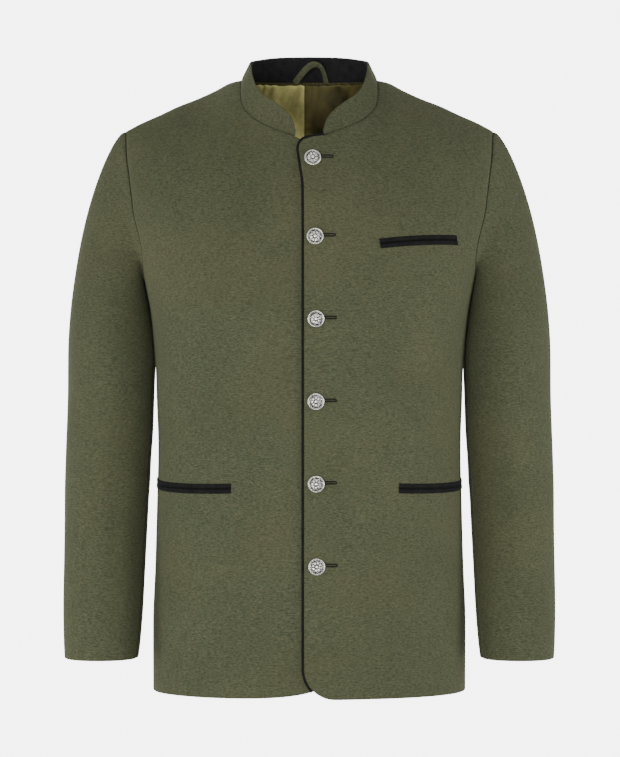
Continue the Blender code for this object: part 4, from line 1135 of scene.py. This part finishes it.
def satin_ripple(points, below):
    """Puckers under the tape that die out downwards, and soft slanting waves below them.

    Each is a sine of the width, bent by a slower sine; below is the way down from the top edge.
    """
    x = points[..., 0]
    gathered = np.exp(-below / 15)
    pucker = gathered * (0.5 + 0.5 * np.sin(x / 1.9 + 2.4 * np.sin(x / 9.5) + below / 9))
    wave = 0.5 + 0.5 * np.sin((x * 0.9 - below * 0.3) / 7.5 + 1.7 * np.sin(below / 19 + x / 40))
    broad = 0.5 + 0.5 * np.sin((x * 0.5 + below * 0.5) / 12 + 2 * np.sin(x / 31))
    near_seam = np.exp(-(((x - LINING_SEAM_X - 5) / 4.5) ** 2))
    crimp = near_seam * (0.5 + 0.5 * np.sin(below / 2.6 + 1.5 * np.sin(below / 8)))
    return 2.0 * pucker + 1.7 * wave + 1.4 * broad + 1.9 * crimp


def lining(name, start_x, stop_x, finish):
    """One half of the lining, with the painted highlight of its crests and its top edge kept for the
    finish.
    """
    rows = ROWS_BELOW + ROWS_ABOVE * np.linspace(*LINING_SPAN, LINING_LINES)
    outer, inwards = strip(start_x, stop_x, rows, LINING_GAP, LINING_LINES, satin_ripple)
    walls = rounded_walls(outer + inwards * SATIN, inwards, SATIN, SATIN_ROLL)
    outer, inner, _ = turned_over(walls)
    below = way_from_top(outer)
    # Painted highlight: the ripple's crests and a band along the top edge are painted lighter
    crest = satin_ripple(outer, below) / CREST_HEIGHT + 0.9 * np.exp(-below / 1.6)
    sewn(name, (outer, inner, crest), finish, "crest")


half_seam = 0.2
# The wearer's left half takes the copy of the satin painted in shade, the right half the lit one
lining("lining_back_left", LINING_HALF_WIDTH, LINING_SEAM_X + half_seam, "satin_painted_shade")
lining("lining_back_right", LINING_SEAM_X - half_seam, -LINING_HALF_WIDTH, "satin_painted_lit")

tape_rows = ROWS_BELOW + ROWS_ABOVE * np.linspace(*TAPE_SPAN, TAPE_LINES)
outer, inwards = strip(TAPE_HALF_WIDTH, -TAPE_HALF_WIDTH, tape_rows, SEAM, TAPE_COLUMNS)
tape_face = outer + inwards * BRAID
sewn("neck_tape", turned_over(rounded_walls(tape_face, inwards, BRAID, TAPE_ROLL)), "tape")
tape_top = tape_face[-1]

LOOP = table(
    "x rise lean turn",
    (-17.5, 0, 0, 0),
    (-11, 8.5, 4, 4),
    (-4, 16.8, 7, 8),
    (3.5, 22.6, 9, 20),
    (10.8, 22.4, 9, 42),
    (16, 16.5, 7, 52),
    (19, 8.5, 4, 52),
    (20.5, 0, 0, 40),
)
LOOP_HALF_WIDTH, LOOP_HALF_THICK = 3.9, 0.8


def hanger_loop():
    """A folded strip along a smooth line through LOOP: flat on its left leg, turned on its right."""
    t = np.linspace(0, len(LOOP["x"]) - 1, 110)
    x, rise, lean, turn = (smooth(np.arange(len(LOOP["x"])), v, t) for v in LOOP.values())
    feet_y, feet_z = (np.interp(-x[[0, -1]], -tape_top[:, 0], tape_top[:, k]) for k in (1, 2))
    foot_y = feet_y.min() - SEAM - LOOP_HALF_THICK
    middle = np.stack([x, foot_y - lean, feet_z.mean() + rise], axis=-1)
    for _ in range(90):
        middle[1:-1] = (middle[:-2] + middle[2:]) / 2
    along = unit(np.gradient(middle, axis=0))
    side = unit(np.cross(along, np.array([0, 1.0, 0])))
    turn = np.radians(turn)[:, None]
    wide = side * np.cos(turn) + np.cross(along, side) * np.sin(turn)
    flat = np.cross(wide, along)
    edge_stitch = 0.12 * np.cos(t * 2 * pi * 4)
    half_wide = LOOP_HALF_WIDTH - 0.05 * edge_stitch
    half_thick = LOOP_HALF_THICK + edge_stitch
    name, sides = "hanger_loop", 20
    tube(name, middle, wide, flat, half_wide, half_thick, sides, "loden", name)


hanger_loop()


# ---- Floor, light and camera


def floor():
    """A wide pale disc well below the hem: radius r, with its rim turned up by (r / R)^6."""
    radius, turn = np.linspace(0.02, 1, 40)[:, None], np.linspace(0, 2 * pi, 97)[None, :-1]
    r, z = FLOOR_RADIUS * radius + 0 * turn, FLOOR_Z + FLOOR_RISE * radius**6 + 0 * turn
    points = np.stack([r * np.cos(turn), r * np.sin(turn), z], axis=-1)
    faces = ring_faces(r.shape, -1)[:-1]
    put_in_scene("floor", make_mesh("floor", points, faces, pale_paper()))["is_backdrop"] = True


def softbox(name, place_at, look_at, width, height, watts):
    """A rectangular soft light that faces a point."""
    lamp = bpy.data.lights.new(name, "AREA")
    lamp.shape = "RECTANGLE"
    lamp.size, lamp.size_y, lamp.energy = width, height, watts
    put_in_scene(name, lamp, place_at, look_at)


def neck_light():
    """A narrow soft beam down into the neck, so that the lining can be seen."""
    lamp = bpy.data.lights.new("neck_spot", "SPOT")
    lamp.energy, lamp.spot_size = 540, radians(2.25)
    lamp.spot_blend, lamp.shadow_soft_size = 0.9, 0.1
    put_in_scene("neck_spot", lamp, (-0.3, -2.3, 0.95), (-0.017, 0.09, -0.018))


def surroundings(lit, mirrored_in, seen):
    """A pale room: one grey lights the cloth, others are what shows in metal and behind it all."""
    world = bpy.data.worlds.new("pale_room")
    world.use_nodes = True
    tree = world.node_tree
    glossy, camera_ray = (add(tree, "LightPath", out=f"Is {ray} Ray") for ray in ("Glossy", "Camera"))
    strength = add(tree, "MapRange", Value=glossy, To_Min=lit, To_Max=mirrored_in)
    light = add(tree, "Background", Color="ffffff", Strength=strength)
    wall = add(tree, "Background", Color="ffffff", Strength=seen)
    mix = add(tree, "MixShader", n0=camera_ray, n1=light, n2=wall)
    fill(tree, tree.nodes["World Output"], Surface=mix)
    bpy.context.scene.world = world


def camera():
    """A long lens straight before the chest, level, three and a half metres off."""
    lens = bpy.data.cameras.new("camera")
    lens.lens, lens.sensor_width, lens.clip_end = 138.7, 36, 60
    aim = (0.0008, 0, -0.3594)
    bpy.context.scene.camera = put_in_scene("camera", lens, (aim[0], -3.5, aim[2]), aim)


floor()
surroundings(lit=0.33, mirrored_in=1.1, seen=6.0)
middle = (0, 0, -0.36)
softbox("front_softbox", (-0.6, -2.85, -1.15), (0, 0, -0.5), 1.5, 1.2, 67)
softbox("left_softbox", (2.3, -0.9, -0.7), middle, 0.9, 1.9, 34)
softbox("right_softbox", (-2.3, -0.9, -0.7), middle, 0.9, 1.9, 26)
neck_light()
softbox("back_softbox", (0.3, 2.6, 0.4), middle, 1.8, 1.6, 34)
camera()

# ---- The cut of each sheet: flat width, length and area in metres, how it is held, what by
CUTS = {
    "front_left": (0.300, 0.740, 0.187, "hung", ["back"]),
    "front_right": (0.312, 0.740, 0.196, "hung", ["back"]),
    "back": (0.576, 0.742, 0.335, "hung", ["collar_outer"]),
}
for side in ("left", "right"):
    by = [f"front_{side}", "back"]
    CUTS[f"sleeve_{side}_upper"] = (0.347, 0.646, 0.140, "hung", by)
    CUTS[f"sleeve_{side}_under"] = (0.122, 0.540, 0.046, "hung", by)
CUTS |= {
    "collar_outer": (0.520, 0.040, 0.0133, "hung", ["back", "front_left", "front_right"]),
    "collar_inner": (0.486, 0.041, 0.0123, "hung", ["collar_outer"]),
    "lining_back_left": (0.140, 0.320, 0.0371, "gathered", ["back"]),
    "lining_back_right": (0.126, 0.318, 0.0335, "gathered", ["back"]),
}

model_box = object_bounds()
sizes = {"cad": [list(v) for v in cad_box], "visual": [list(v) for v in model_box]}
